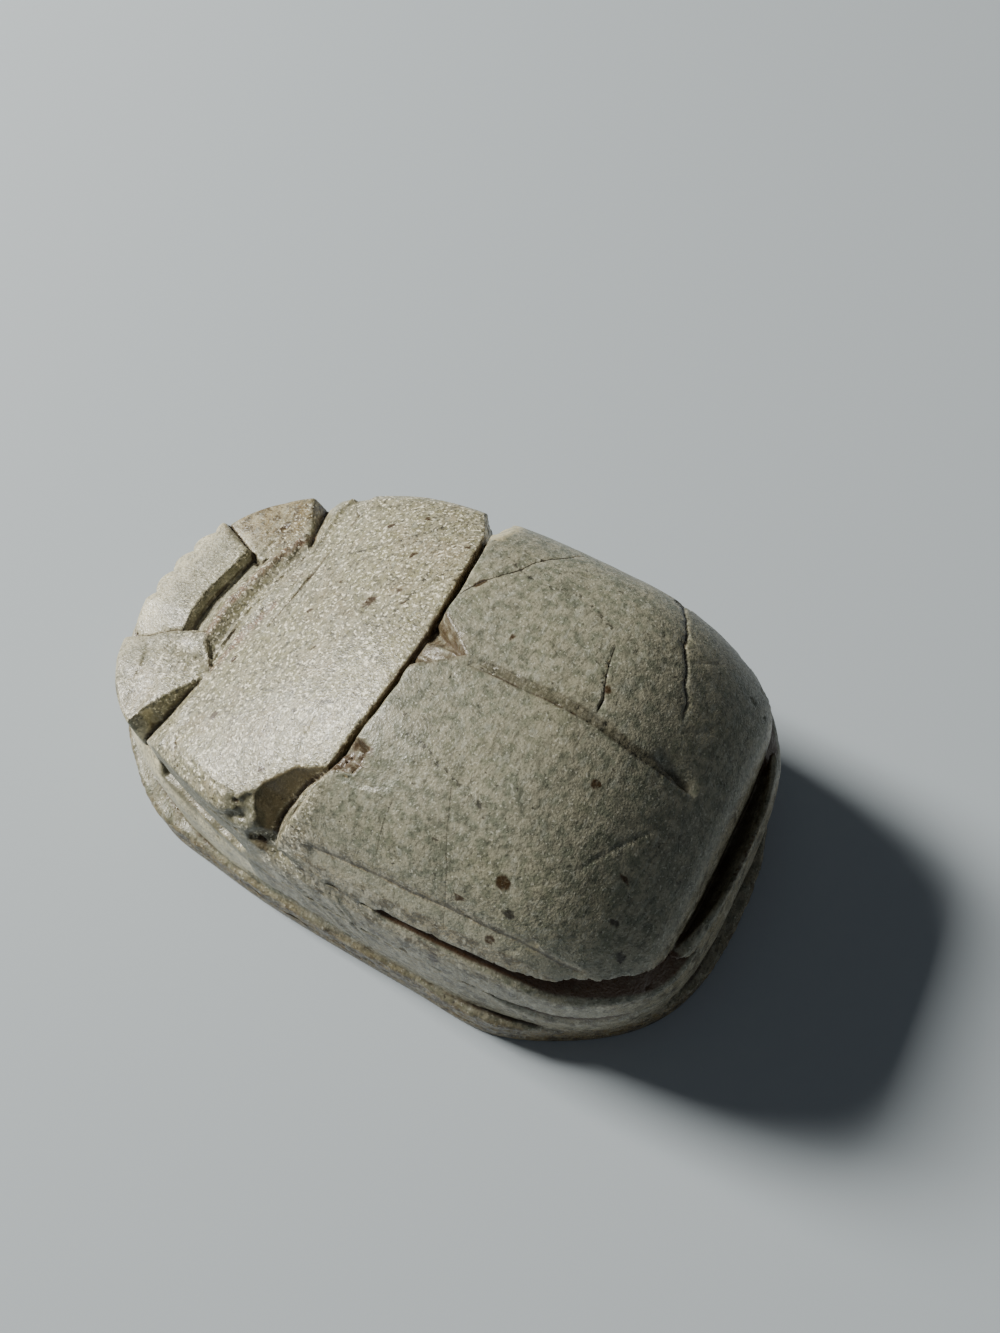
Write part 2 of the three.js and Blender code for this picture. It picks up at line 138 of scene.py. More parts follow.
def noise(p: Points, cell: float | tuple[float, float, float], seed: int) -> Array:
    """Smooth value noise.

    Args:
        p: Where to read it.
        cell: Lattice spacing in millimetres, one number or one for each axis.
        seed: Picks the pattern.

    Returns:
        Values from -1 to 1.
    """
    spacing = (cell, cell, cell) if isinstance(cell, (int, float)) else cell
    whole, ease = [], []
    for shift, axis, step in zip((17.3, 31.7, 53.9), (p.x, p.y, p.z), spacing):
        scaled = axis / step + shift * seed
        low = np.floor(scaled)
        part = scaled - low
        whole.append(low.astype(np.int32))
        ease.append(part * part * (3 - 2 * part))
    (i, j, k), (u, v, w) = whole, ease

    def row(di: int, dj: int) -> Array:
        start = Lattice.at(i + di, j + dj, k)
        return start + (Lattice.at(i + di, j + dj, k + 1) - start) * w

    near = row(0, 0) + (row(0, 1) - row(0, 0)) * v
    far = row(1, 0) + (row(1, 1) - row(1, 0)) * v
    return near + (far - near) * u


def trace(x: Array, y: Array, path: Path) -> tuple[Array, Array, float]:
    """Where points lie beside a path in plan.

    Args:
        x: Plan positions.
        y: Plan positions.
        path: Corners of the path, in order.

    Returns:
        Distance to the path (positive to its left), length run along it, and its whole length.
    """
    best = np.full(x.shape, np.inf)
    signed = np.zeros_like(x)
    run = np.zeros_like(x)
    start = 0.0
    for (ax, ay), (bx, by) in pairwise(path):
        dx, dy = bx - ax, by - ay
        length = math.hypot(dx, dy)
        t = np.clip(((x - ax) * dx + (y - ay) * dy) / length**2, 0, 1)
        ex, ey = x - ax - t * dx, y - ay - t * dy
        distance = np.hypot(ex, ey)
        closer = distance < best
        best = np.where(closer, distance, best)
        signed = np.where(closer, np.where(dx * ey - dy * ex >= 0, distance, -distance), signed)
        run = np.where(closer, start + t * length, run)
        start += length
    return signed, run, start


def along(value: Array, knots: tuple[tuple[float, ...], ...], column: int = 1) -> Array:
    """Straight interpolation through knots whose first entries rise."""
    return np.interp(value, [knot[0] for knot in knots], [knot[column] for knot in knots])


@dataclass(frozen=True)
class Cut:
    """A graver line, scratch or crack that follows a path in plan.

    Attributes:
        path: Its corners, (x, y).
        width: Lip to lip.
        depth: At its deepest.
        profile: Its cross-section.
        fade: Length over which it runs out at each end.
        wobble: How far its line strays sideways.
        low: Lowest z that it reaches, so that it stays off the wall below.
        stain: How dark the dirt along its line is, 0 to 1.
        hatched: Whether its long flank is pale and scratched.
        short_flank: Width of the short flank, as a share of the long one.
    """

    path: Path
    width: float
    depth: float
    profile: Profile = Profile.VEE
    fade: float = 0.4
    wobble: float = 0.012
    low: float = 3.2
    stain: float = 0.0
    hatched: bool = False
    short_flank: float = 0.16

    def reach(self, p: Points) -> Array:
        """Mask of the places near enough to feel the cut."""
        xs = [x for x, _ in self.path]
        ys = [y for _, y in self.path]
        room = self.width + self.wobble + 0.05
        inside = (p.x > min(xs) - room) & (p.x < max(xs) + room)
        return inside & (p.y > min(ys) - room) & (p.y < max(ys) + room) & (p.z > self.low)

    def beside(self, p: Points) -> tuple[Array, Array]:
        """Signed distance to the strayed line, and its strength from its run-out."""
        stray_x = noise(p, 0.35, 11) * self.wobble
        stray_y = noise(p, 0.35, 12) * self.wobble
        signed, run, length = trace(p.x + stray_x, p.y + stray_y, self.path)
        ends = ramp(run, 0, self.fade) * ramp(run, length, length - self.fade)
        return signed, ends

    def depth_at(self, p: Points) -> Array:
        """How much stone the cut takes off at each place, in millimetres."""
        taken = np.zeros_like(p.x)
        mask = self.reach(p)
        if not mask.any():
            return taken
        signed, ends = self.beside(p.where(mask))
        half = self.width / 2
        if self.profile is Profile.VEE:
            shape = np.maximum(0, 1 - np.abs(signed) / half)
        elif self.profile is Profile.ROUND:
            shape = np.maximum(0, 1 - (signed / half) ** 2) ** 2
        else:
            steep = np.maximum(0, 1 + signed / (self.short_flank * self.width))
            gentle = np.maximum(0, 1 - signed / self.width)
            shape = np.where(signed < 0, steep, gentle)
        taken[mask] = shape * ends * self.depth
        return taken


def hairline(path: Path, stain: float) -> Cut:
    """A hair-thin crack that shows mostly by the dirt in it."""
    return Cut(path, 0.06, 0.02, Profile.VEE, 0.3, 0.03, stain=stain)


def scratch(path: Path, fade: float) -> Cut:
    """A fine scratch, rubbed shallow."""
    return Cut(path, 0.06, 0.015, Profile.ROUND, fade)


def strip_line(path: Path) -> Cut:
    """The fine line inside the strip along one side of the pronotum."""
    return Cut(path, 0.09, 0.035, Profile.VEE, 0.3)


def side_line(path: Path) -> Cut:
    """The graver line along one side of the back, its lower flank long and hatched."""
    return Cut(path, 0.3, 0.085, Profile.FLANK, 0.35, stain=0.6, hatched=True)


@dataclass(frozen=True)
class Scar:
    """A shallow flake scar or dent, an ellipse in plan with a broken floor.

    Attributes:
        centre: (x, y).
        radii: Along its length and across it.
        turn: Angle of its length from +x, in degrees.
        depth: At its deepest.
        edge: Share of the radius over which it reaches full depth.
        rough: Height of the break's roughness.
    """

    centre: tuple[float, float]
    radii: tuple[float, float]
    turn: float
    depth: float
    edge: float = 0.35
    rough: float = 0.03

    def inside(self, p: Points) -> Array:
        """1 in its middle, falling to 0 at its rim."""
        share = np.zeros_like(p.x)
        dx, dy = p.x - self.centre[0], p.y - self.centre[1]
        mask = (np.hypot(dx, dy) < 1.4 * max(self.radii)) & (p.z > 2.2)
        if not mask.any():
            return share
        u, v = in_ellipse(dx[mask], dy[mask], self.radii, self.turn)
        uneven = 1 + 0.25 * noise(p.where(mask), 0.3, 21)
        share[mask] = np.clip((1 - np.hypot(u, v) * uneven) / self.edge, 0, 1)
        return share

    def depth_at(self, p: Points) -> Array:
        """How much stone the scar takes off at each place, in millimetres."""
        taken = self.inside(p)
        mask = taken > 0
        taken[mask] *= self.depth + self.rough * noise(p.where(mask), 0.16, 22)
        return taken


def in_ellipse(
    dx: Array, dy: Array, radii: tuple[float, float], degrees: float
) -> tuple[Array, Array]:
    """Offsets from an ellipse's centre along and across it, as shares of its radii."""
    turn = math.radians(degrees)
    u = (dx * math.cos(turn) + dy * math.sin(turn)) / radii[0]
    v = (dy * math.cos(turn) - dx * math.sin(turn)) / radii[1]
    return u, v


def superellipse(
    x: Array, y: Array, length: Array | float, width: Array | float, power: Array | float
) -> tuple[Array, Array]:
    """Gauge of a superellipse (1 on it) and the steepness of that gauge.

    Args:
        x: Plan positions.
        y: Plan positions.
        length: Half length along x.
        width: Half width along y.
        power: 2 is an ellipse; more is squarer.

    Returns:
        The gauge and the size of its gradient, per millimetre.
    """
    u = np.maximum(np.abs(x) / length, 1e-4)
    v = np.maximum(np.abs(y) / width, 1e-4)
    gauge = (u**power + v**power) ** (1 / power)
    slope = gauge ** (1 - power) * np.hypot(u ** (power - 1) / length, v ** (power - 1) / width)
    return gauge, slope


@dataclass(frozen=True)
class BasePlate:
    """The plate that the beetle sits on: flat below, its edge granular and worn."""

    half_length: float = 10.0
    half_width: float = 6.22
    power: float = 2.75
    top: float = 1.6
    wear: float = 0.22
    grit: float = 0.08
    # places where the near edge swells: x, how far it reaches along the edge, how far out
    swells: tuple[tuple[float, float, float], ...] = ((5.2, 1.8, 0.3), (-6.2, 1.3, 0.2))
    # split that runs along the near edge: x, z, height of its mouth
    split: tuple[tuple[float, float, float], ...] = (
        (-5.2, 1.0, 0.0), (-4.0, 0.95, 0.05), (-2.4, 0.8, 0.09), (-0.9, 0.62, 0.12),
        (0.3, 0.5, 0.08), (1.2, 0.45, 0.0))
    split_depth: float = 0.14

    def solid(self, p: Points) -> Array:
        """Field of the plate."""
        gauge, slope = superellipse(p.x, p.y, self.half_length - 0.02, self.half_width - 0.02,
                                    self.power)
        side = (gauge - 1) / np.maximum(slope, 1e-3)
        for middle, reach, out in self.swells:
            side = side - out * np.exp(-(((p.x - middle) / reach) ** 2)) * ramp(p.y, -2, -4.5)
        rough = np.abs(noise(p, (0.5, 0.5, 0.22), 31)) + 0.5 * np.abs(noise(p, 0.2, 32))
        side = side + self.grit * rough * ramp(p.z, 0.15, 0.6)
        mouth = along(p.x, self.split, 2) / 2
        away = np.abs(p.z - along(p.x, self.split) + 0.04 * noise(p, 0.4, 34)) - mouth
        gap = np.maximum(np.maximum(away, -side - self.split_depth), p.y)
        side = blend_max(side, -gap, 0.03)
        slab = blend_max(side, p.z - self.top + 0.05 * noise(p, 0.5, 33), self.wear)
        return blend_max(slab, -p.z, 0.08)


@dataclass(frozen=True)
class Body:
    """Wall, rim and wing cases: one rounded form, blunt at the tail, with a slot behind."""

    half_length: float = 9.5
    front_length: float = 9.8
    half_width: float = 6.02
    front_power: float = 2.45
    low: float = 1.6
    top: float = 8.5
    power: float = 3.3  # how squarely the side rolls over into the back
    wall_power: float = 3.3
    shoulder_power: float = 3.8
    case_end: float = 8.72
    end_power: float = 11.0
    rim_top: float = 5.35
    tilt: float = 0.055
    fullest: float = 4.0  # where the back has swelled most, and begins to round down
    swell: float = 0.35
    fall_bend: float = 0.056
    fall_straight: float = 7.4  # from here it falls evenly
    slot_span: float = 3.3
    slot_shift: float = 0.25
    slot_width: float = 0.55
    slot_depth: float = 1.15

    def flattened(self, p: Points) -> Points:
        """Places with the back's slow climb towards the head and its swell taken out."""
        before = 1 - np.clip(p.x / self.fullest, 0, 1)
        run = np.clip(p.x - self.fullest, 0, self.fall_straight - self.fullest)
        beyond = np.maximum(p.x - self.fall_straight, 0)
        swell = self.swell * (1 - before**2) - self.fall_bend * run * (run + 2 * beyond)
        climb = 1 + (self.tilt * (5 - p.x) + swell) / (self.top - self.rim_top)
        level = self.rim_top + (p.z - self.rim_top) / climb
        return Points(p.x, p.y, np.where(p.z > self.rim_top, level, p.z))

    def wall(self, p: Points) -> Array:
        """Field of the wall all round, rolling over into the back."""
        ahead = p.x < 0
        height = np.clip((p.z - self.low) / (self.top - self.low), 0, 2)
        rear_power = self.wall_power + (self.shoulder_power - self.wall_power) * np.clip(
            (p.z - self.low) / 5.4, 0, 1)
        length = np.where(ahead, self.front_length, self.half_length)
        gauge, slope = superellipse(p.x, p.y, length, self.half_width,
                                    np.where(ahead, self.front_power, rear_power))
        whole = (gauge**self.power + height**self.power) ** (1 / self.power)
        rise = height ** (self.power - 1) / (self.top - self.low)
        lean = whole ** (1 - self.power) * np.hypot(gauge ** (self.power - 1) * slope, rise)
        return (whole - 1) / np.maximum(lean, 0.02)

    def case_blank(self, p: Points) -> Array:
        """Field of the wing cases before their carving."""
        q = self.flattened(p)
        height = np.clip((q.z - self.low) / (self.top - self.low), 0, 2)
        across = np.abs(q.y) / self.half_width
        back = np.clip(q.x, 0, None) / self.case_end
        total = across**self.power + back**self.end_power + height**self.power
        lean = np.hypot(self.power * across ** (self.power - 1) / self.half_width,
                        self.end_power * back ** (self.end_power - 1) / self.case_end)
        lean = np.hypot(lean, self.power * height ** (self.power - 1) / (self.top - self.low))
        end = (total - 1) / np.maximum(lean, 0.12)
        return blend_max(self.wall(q), end, 0.25)

    def crest(self, y: Array) -> Array:
        """Height of the wing cases' front edge."""
        across = np.minimum(np.abs(y) / self.half_width, 0.98)
        level = self.low + (self.top - self.low) * (1 - across**self.power) ** (1 / self.power)
        climb = self.tilt * 5 / (self.top - self.rim_top)
        return level + np.maximum(level - self.rim_top, 0) * climb

    def slot(self, p: Points, cases: Array) -> Array:
        """Field of the crescent slot under the ends of the wing cases."""
        across = p.y - self.slot_shift
        swell = np.clip(1 - (across / self.slot_span) ** 2, 0.0, 1)
        floor = self.rim_top - self.slot_depth * swell + 0.06
        open_up = np.clip((p.z - floor) / (self.rim_top - floor + 0.05), 0.0, 1.2) ** 0.8
        outer = cases - self.slot_width * swell * open_up
        gap = np.maximum(outer, floor - p.z)
        return np.maximum(gap, np.abs(across) - self.slot_span)

    def rear(self, p: Points) -> Array:
        """Field of everything behind the pronotum."""
        cases = self.case_blank(p)
        crest = self.rim_top - 0.1 * ramp(np.abs(p.y), 2.2, 4.5) + 0.04 * noise(p, 0.9, 41)
        rim = blend_max(self.wall(p), p.z - crest, 0.35)
        rim = blend_max(rim, -self.slot(p, cases), 0.08)
        return blend_min(cases, rim, 0.05)


@dataclass(frozen=True)
class Pronotum:
    """The shield between head and wing cases, bevelled at its sides, bordered at its front."""

    front_x: float = -5.9
    front_z: float = 5.08
    rear_x: float = 0.13
    rear_z: float = 8.05
    bulge: float = 0.33
    crown: float = 1.5
    half_width: float = 5.4
    bevel: float = 0.42  # width of the strip along each side
    border: float = 0.9  # width of the flat margin behind the front edge
    case_front: float = 0.22
    case_back: float = 1.06
    groove_depth: float = 0.85
    face_lean: float = 0.3  # how far the wing cases' front face leans, mm per mm
    chip_lean: float = 0.5  # and where the chip lays it open
    undercut: float = 0.3  # radius of the furrow under each side edge
    facet: tuple[float, float, float] = (-2.75, -5.12, 6.3)  # rough break ahead of the chip
    margin_drop: float = 0.13  # how far the flat margin lies below the rest
    corner_sweep: tuple[float, float] = (0.7, 0.3)  # of the rear corners, near and far
    front_hollow: float = 0.26  # how deep the front edge is hollowed on the far half
    furrow_z: float = 4.1
    furrow_climb: float = 0.06

    def height(self, x: Array, y: Array) -> Array:
        """Upper surface."""
        t = (x - self.front_x) / (self.rear_x - self.front_x)
        spine = self.front_z + (self.rear_z - self.front_z) * t + self.bulge * 4 * t * (1 - t)
        return spine - self.crown * np.maximum(t, 0) * (np.abs(y) / self.half_width) ** 2.2

    def rear_edge(self, y: Array) -> Array:
        """Plan position of the rear edge, its corners swept forward."""
        across = np.minimum(np.abs(y) / self.half_width, 1.03)
        sweep = np.where(y < 0, *self.corner_sweep)
        return -0.15 - 0.5 * (across * 1.35) ** 1.5 - sweep * across**12

    def case_edge(self, y: Array) -> Array:
        """Plan position of the wing cases' front edge."""
        return self.case_front - self.case_back * (np.abs(y) / 5.5) ** 3

    def front_edge(self, y: Array) -> Array:
        """Plan position of the front edge, a little hollow on the far half."""
        return -5.86 + self.front_hollow * np.exp(-(((y - 1.5) / 1.9) ** 2))

    def side_edge(self, x: Array) -> Array:
        """Distance of the side edge from the middle line."""
        t = np.clip((x + 5.8) / 4.1, -0.3, 1.1)
        return 4.76 + 1.35 * t - 0.45 * t * t

    def solid(self, p: Points) -> Array:
        """Field of the shield above the folded legs; its rear edge is cut later."""
        front = self.front_edge(p.y)
        margin = ramp(p.y, -1.6, 0.2) * ramp(p.x, front + 0.1, front + 0.25)
        margin = margin * ramp(p.x, front + self.border, front + self.border - 0.14)
        top = self.height(p.x, p.y) - self.margin_drop * margin
        skin = (p.z - top) / 1.14
        side = np.abs(p.y) - self.side_edge(p.x)
        bevel = (p.z - top + 0.5 * (side + self.bevel)) / 1.2
        flank = (side + 0.12 * (p.z - top)) / 1.01
        nose = (front - p.x + 0.75 * (p.z - self.front_z)) / 1.25
        form = blend_max(skin, bevel, 0.03)
        form = blend_max(form, flank, 0.07)
        form = blend_max(form, -self.crumbled(p), 0.03)
        return blend_max(form, nose, 0.06)

    def crumbled(self, p: Points) -> Array:
        """Field of what has crumbled off the near side ahead of the chip."""
        fx, fy, fz = self.facet
        broken = 0.75 * (p.y - fy) - 0.66 * (p.z - fz) + 0.16 * noise(p, 0.3, 44)
        return np.maximum(np.maximum(broken, fx - p.x + 0.1 * noise(p, 0.25, 43)), p.y + 4.2)

    def furrow(self, p: Points) -> Array:
        """Field of the furrow between each side edge and the foreleg below it."""
        out = np.abs(p.y) - self.side_edge(p.x)
        level = self.furrow_z + self.furrow_climb * np.clip(p.x + 5.8, 0, 3.4)
        radius = self.undercut * ramp(p.x, -6.0, -5.6) * ramp(p.x, -2.1, -2.6)
        uneven = 0.05 * noise(p, 0.35, 42)
        return np.hypot(out - 0.13, (p.z - level) * 0.7) - radius + uneven + 0.3 * (radius <= 0)

    def face(self, p: Points, crest: Array) -> Array:
        """Field of the space before the wing cases' front face, whose edge is at a height."""
        open_up = ramp(p.y, -3.3, -4.2)
        lean = self.face_lean + (self.chip_lean - self.face_lean) * open_up
        uneven = 0.03 * noise(p, 0.4, 45)
        return (p.x - self.case_edge(p.y) + lean * (crest - p.z) + uneven) / np.hypot(1, lean)

    def groove(self, p: Points, crest: Array) -> Array:
        """Field of the deep groove behind the shield, which runs into the chip at its left."""
        rear = self.rear_edge(p.y) + 0.02 * noise(p, 0.5, 46)
        lip = self.height(rear, p.y)
        front = rear - p.x + 0.05 * (lip - p.z)
        return np.maximum(np.maximum(front, self.face(p, crest)),
                          lip - self.groove_depth - p.z)


@dataclass(frozen=True)
class Head:
    """Clypeus with its lobed edge, the hollow and ridge behind it, and a cheek at each side."""

    centre_x: float = -5.5
    reach: float = 4.08
    half_width: float = 4.75
    power: float = 2.2
    front_z: float = 4.1
    slope: float = 0.28
    lobe: float = 0.24
    lobe_pitch: float = 0.86
    # Profile from front to back through the hollow and the ridge: x at the middle, rise
    hollow_profile: tuple[tuple[float, float], ...] = (
        (-12.0, 0.05), (-7.78, 0.05), (-7.62, -0.36), (-7.3, -0.34), (-7.0, -0.06), (-6.86, 0.0),
        (-6.36, -0.27), (-6.22, -0.12), (-6.12, -0.2), (-5.9, 0.02), (-4.0, 0.02),
    )
    ridge_lean: tuple[tuple[float, float], ...] = ((-2.5, 0.25), (-1.2, 0.1), (0, 0.0), (1.7, 0.28),
                                                   (3.0, 0.75), (4.5, 1.1))
    near_step: Path = ((-9.6, -2.35), (-8.44, -1.82), (-7.93, -1.5), (-6.9, -1.08), (-6.3, -1.7),
                       (-5.7, -2.3))
    near_ridge: Path = ((-9.7, -0.9), (-8.3, -0.86), (-7.6, -0.74), (-6.9, -1.05))
    far_step: Path = ((-9.6, 2.75), (-8.95, 2.5), (-7.94, 2.02), (-6.98, 1.6), (-6.4, 2.3),
                      (-5.8, 4.2))
    cheek_drop: float = 0.24
    notch_inner: float = 2.2  # from the middle line to the notch's narrow end
    notch_run: float = 2.5
    notch_widens: float = 0.92
    notch_deepens: float = 1.25

    def base(self, x: Array) -> Array:
        """The one slope that the head was cut from."""
        return self.front_z + self.slope * (x - self.centre_x + 4.2)

    def height(self, p: Points) -> Array:
        """Upper surface of the head."""
        base = self.base(p.x)
        middle = base + along(p.x - along(p.y, self.ridge_lean), self.hollow_profile)
        near, _, _ = trace(p.x, p.y, self.near_step)
        crest, _, _ = trace(p.x, p.y, self.near_ridge)
        far, _, _ = trace(p.x, p.y, self.far_step)
        # the clypeus falls from a ridge to the near cheek, in one long flank
        flank = np.clip(crest, -1.6, 0) * 0.34 * ramp(p.x, -6.6, -7.2)
        middle = middle + flank
        cheek = base + 0.06 * ramp(near, 0, -1.2) - 0.1 * ramp(near, -1.5, -2.6)
        cheek = cheek - 0.05 * ramp(noise(p, 0.7, 51), 0.1, 0.6)
        far_plate = base - self.cheek_drop - 0.12 * ramp(far, 0.4, 2.4)
        top = np.where(near < 0, cheek, middle)
        top = np.where((far > 0) & (p.y > 1.2), far_plate, top)
        lip = np.exp(-((near / 0.07) ** 2)) * 0.1 * (p.x < -6.8)
        crease = np.exp(-((far / 0.06) ** 2)) * 0.14 * (p.y > 1.2) * (p.x < -6.8)
        return top - lip - crease

    def outline(self, p: Points) -> Array:
        """Field of the head's plan outline, lobed along the clypeus."""
        gauge, slope = superellipse(p.x - self.centre_x, p.y, self.reach, self.half_width,
                                    self.power)
        wave = np.abs(np.sin(np.pi * (p.y + 0.55) / self.lobe_pitch)) ** 0.6
        lobed = ramp(np.abs(p.y - 0.75), 1.75, 1.45)
        edge = (gauge - 1) / np.maximum(slope, 0.05)
        return edge + self.lobe * (1 - wave) * lobed

    def notch(self, p: Points, side: Side) -> Array:
        """Field of the three-cornered notch between a cheek and the pronotum."""
        y = p.y * side.value
        mouth = np.clip((y - self.notch_inner) / self.notch_run, 0, 1)
        front = -5.98 - self.notch_widens * mouth
        floor = self.base(p.x) - 0.05 - self.notch_deepens * mouth
        ahead = (front - p.x - 0.55 * (p.z - floor - 0.6)) / 1.14
        behind = p.x + 5.8 - 0.1 * (p.z - floor)
        gap = np.maximum(np.maximum(ahead, behind), floor - p.z)
        return np.maximum(gap, self.notch_inner - y)

    def solid(self, p: Points) -> Array:
        """Field of the head above the folded forelegs."""
        step = 0.02
        height = self.height(p)
        run_x = (self.height(p.moved(step, 0, 0)) - height) / step
        run_y = (self.height(p.moved(0, step, 0)) - height) / step
        skin = (p.z - height) / np.sqrt(1 + np.clip(run_x**2 + run_y**2, 0, 25))
        form = blend_max(skin, self.outline(p), 0.12)
        for side in Side:
            form = blend_max(form, -self.notch(p, side), 0.06)
        return blend_max(form, p.x + 5.2, 0.05)


@dataclass(frozen=True)
class SideSlit:
    """A wedge cut into the wall, following it round towards the tail.

    Its upper lip is level and its floor climbs inwards to meet it.

    Attributes:
        path: Knots of (angle from the tail in degrees, z, height of its mouth).
        depth: How far it goes in at its tallest.
        ragged: Roughness of its upper lip.
        seed: Picks the roughness.
    """

    path: tuple[tuple[float, float, float], ...]
    depth: float
    ragged: float = 0.0
    seed: int = 61

    def gap(self, p: Points, wall: Array, turn: Array) -> Array:
        """Field of the slit; wall is the wall's own field and turn the angle from the tail."""
        middle = along(turn, self.path)
        height = along(turn, self.path, 2)
        tallest = max(knot[2] for knot in self.path)
        depth = self.depth * np.sqrt(np.clip(height / tallest, 0.03, 1))
        lip = self.ragged * (noise(p, 0.3, self.seed) + 0.6 * noise(p, 0.12, self.seed + 1))
        inward = np.clip(-wall / depth, -0.8, 1.3)
        top = middle + height / 2 + lip
        floor = middle - height / 2 + height * inward + 0.2 * lip
        lean = np.hypot(1, height / depth)
        return np.maximum(p.z - top, (floor - p.z) / lean)


@dataclass(frozen=True)
class Legs:
    """Folded legs: rolls and ribs along the wall, parted by slits."""

    top: float = 4.05
    roll: float = 0.7  # how roundly the foreleg turns over
    foreleg_end: float = -2.25
    end_step: float = 0.16
    shoulder_top: float = 4.1
    shoulder_climb: float = 0.95
    half_length: float = 9.5  # of the wall that the slits' angles are measured on
    half_width: float = 6.02
    shell_in: float = 1.3  # the slits stay this near under the wall
    shell_low: float = 1.1
    shell_high: float = 6.6
    hind: SideSlit = SideSlit(
        ((23, 4.95, 0.0), (27, 4.9, 0.35), (31, 4.9, 0.8), (35, 5.0, 1.1), (41, 5.35, 1.1),
         (47, 5.38, 1.05), (52, 5.3, 0.95), (56, 5.45, 0.75), (60, 5.52, 0.62), (66, 5.52, 0.56),
         (72, 5.48, 0.55), (77, 5.42, 0.5), (79, 5.4, 0.0)), 0.85, 0.06, 61)
    middle: SideSlit = SideSlit(
        ((31, 3.5, 0.0), (38, 3.4, 0.7), (44, 3.3, 1.1), (49, 3.2, 1.2), (54, 3.3, 1.05),
         (58, 3.5, 0.6), (61, 3.9, 0.0)), 0.6, 0.05, 63)
    lower: SideSlit = SideSlit(
        ((50, 1.5, 0.0), (54, 1.5, 0.4), (59, 1.5, 0.5), (63, 1.5, 0.3), (66, 1.5, 0.0)), 0.5,
        0.03, 65)
    ledge: SideSlit = SideSlit(
        ((80, 1.8, 0.0), (87, 1.9, 0.5), (95, 2.0, 0.8), (103, 2.0, 0.7), (112, 1.9, 0.0)),
        0.5, 0.04, 67)

    def solid(self, p: Points, wall: Array) -> Array:
        """Field of the forelegs' rolls along the wall, ahead of the wing cases."""
        top = self.top - 0.35 * np.maximum(0, np.abs(p.y) - 4.6) - 0.12 * np.maximum(0, -6 - p.x)
        rounded = blend_max(wall, (p.z - top) / 1.05, self.roll)
        end = ramp(p.x, self.foreleg_end - 1.0, self.foreleg_end) * (p.x < self.foreleg_end)
        return rounded + self.end_step * end * ramp(p.z, 1.5, 1.9)

    def shoulder(self, p: Points, wall: Array) -> Array:
        """Field of the wall under the pronotum's rear corners, which climbs to the cases."""
        top = self.shoulder_top + self.shoulder_climb * np.clip(p.x + 2.3, 0, 1.4)
        form = blend_max(wall, (p.z - top) / 1.2, 0.25)
        return blend_max(form, self.foreleg_end - p.x, 0.08)

    def slits(self) -> tuple[SideSlit, ...]:
        """Every slit of one side."""
        return self.hind, self.middle, self.lower, self.ledge

    def turn(self, p: Points) -> Array:
        """Angle round the wall from the tail, in degrees, the same on both sides."""
        return np.degrees(np.arctan2(np.abs(p.y) / self.half_width, p.x / self.half_length))

    def shell(self, p: Points, wall: Array) -> Array:
        """Mask of the wall's skin and what lies under it, as far as the slits reach."""
        return (wall > -self.shell_in) & (p.z < self.shell_high) & (p.z > self.shell_low)

    def carve(self, stone: Array, p: Points, wall: Array) -> Array:
        """Cuts the slits into a field, on both sides."""
        turn = self.turn(p)
        shell = self.shell(p, wall) & (wall < 0.6)
        q, skin, around = p.where(shell), wall[shell], turn[shell]
        cut = stone[shell]
        for slit in self.slits():
            cut = blend_max(cut, -slit.gap(q, skin, around), 0.05)
        carved = stone.copy()
        carved[shell] = cut
        return carved


@dataclass(frozen=True)
class LeftChip:
    """Smooth scoop where the pronotum's left rear corner broke away; its floor is painted brown as
    shade.
    """

    edge: tuple[tuple[float, float], ...] = (
        (-6.2, -1.62), (-5.6, -1.78), (-4.9, -2.04), (-4.55, -1.94), (-3.9, -1.34),
        (-3.76, -0.9), (-3.62, -0.6))
    fall: float = 1.0  # how steeply its floor drops towards the wing case
    lens: tuple[float, float, float] = (-1.25, -5.9, 5.5)
    lens_radii: tuple[float, float, float] = (0.75, 0.42, 0.3)
    lens_lean: float = 0.55
    hollow: float = 0.08
    inner_end: float = -3.62

    def gap(self, p: Points, shield: Pronotum, crest: Array) -> Array:
        """Field of the chip, bounded behind by the wing case's front face."""
        edge = along(p.y, self.edge) + 0.02 * noise(p, 0.25, 48)
        lip = shield.height(edge, p.y)
        hollow = self.hollow * np.sin(np.clip((p.x - edge) * 2.6, 0, math.pi))
        fibres = 0.012 * noise(p, (0.09, 0.9, 0.9), 47)
        floor = lip - self.fall * (p.x - edge) - hollow + fibres
        above = (floor - p.z) / math.hypot(1, self.fall)
        gap = np.maximum(np.maximum(above, shield.face(p, crest)), edge - 0.02 - p.x)
        gap = np.maximum(gap, p.y - self.inner_end)
        u, v, w = (
            (axis - middle) / radius
            for axis, middle, radius in zip((p.x, p.y, p.z), self.lens, self.lens_radii)
        )
        turned = w + self.lens_lean * u * self.lens_radii[0]
        lens = (np.sqrt(u * u + v * v + turned * turned) - 1) * self.lens_radii[2]
        return np.minimum(gap, lens)


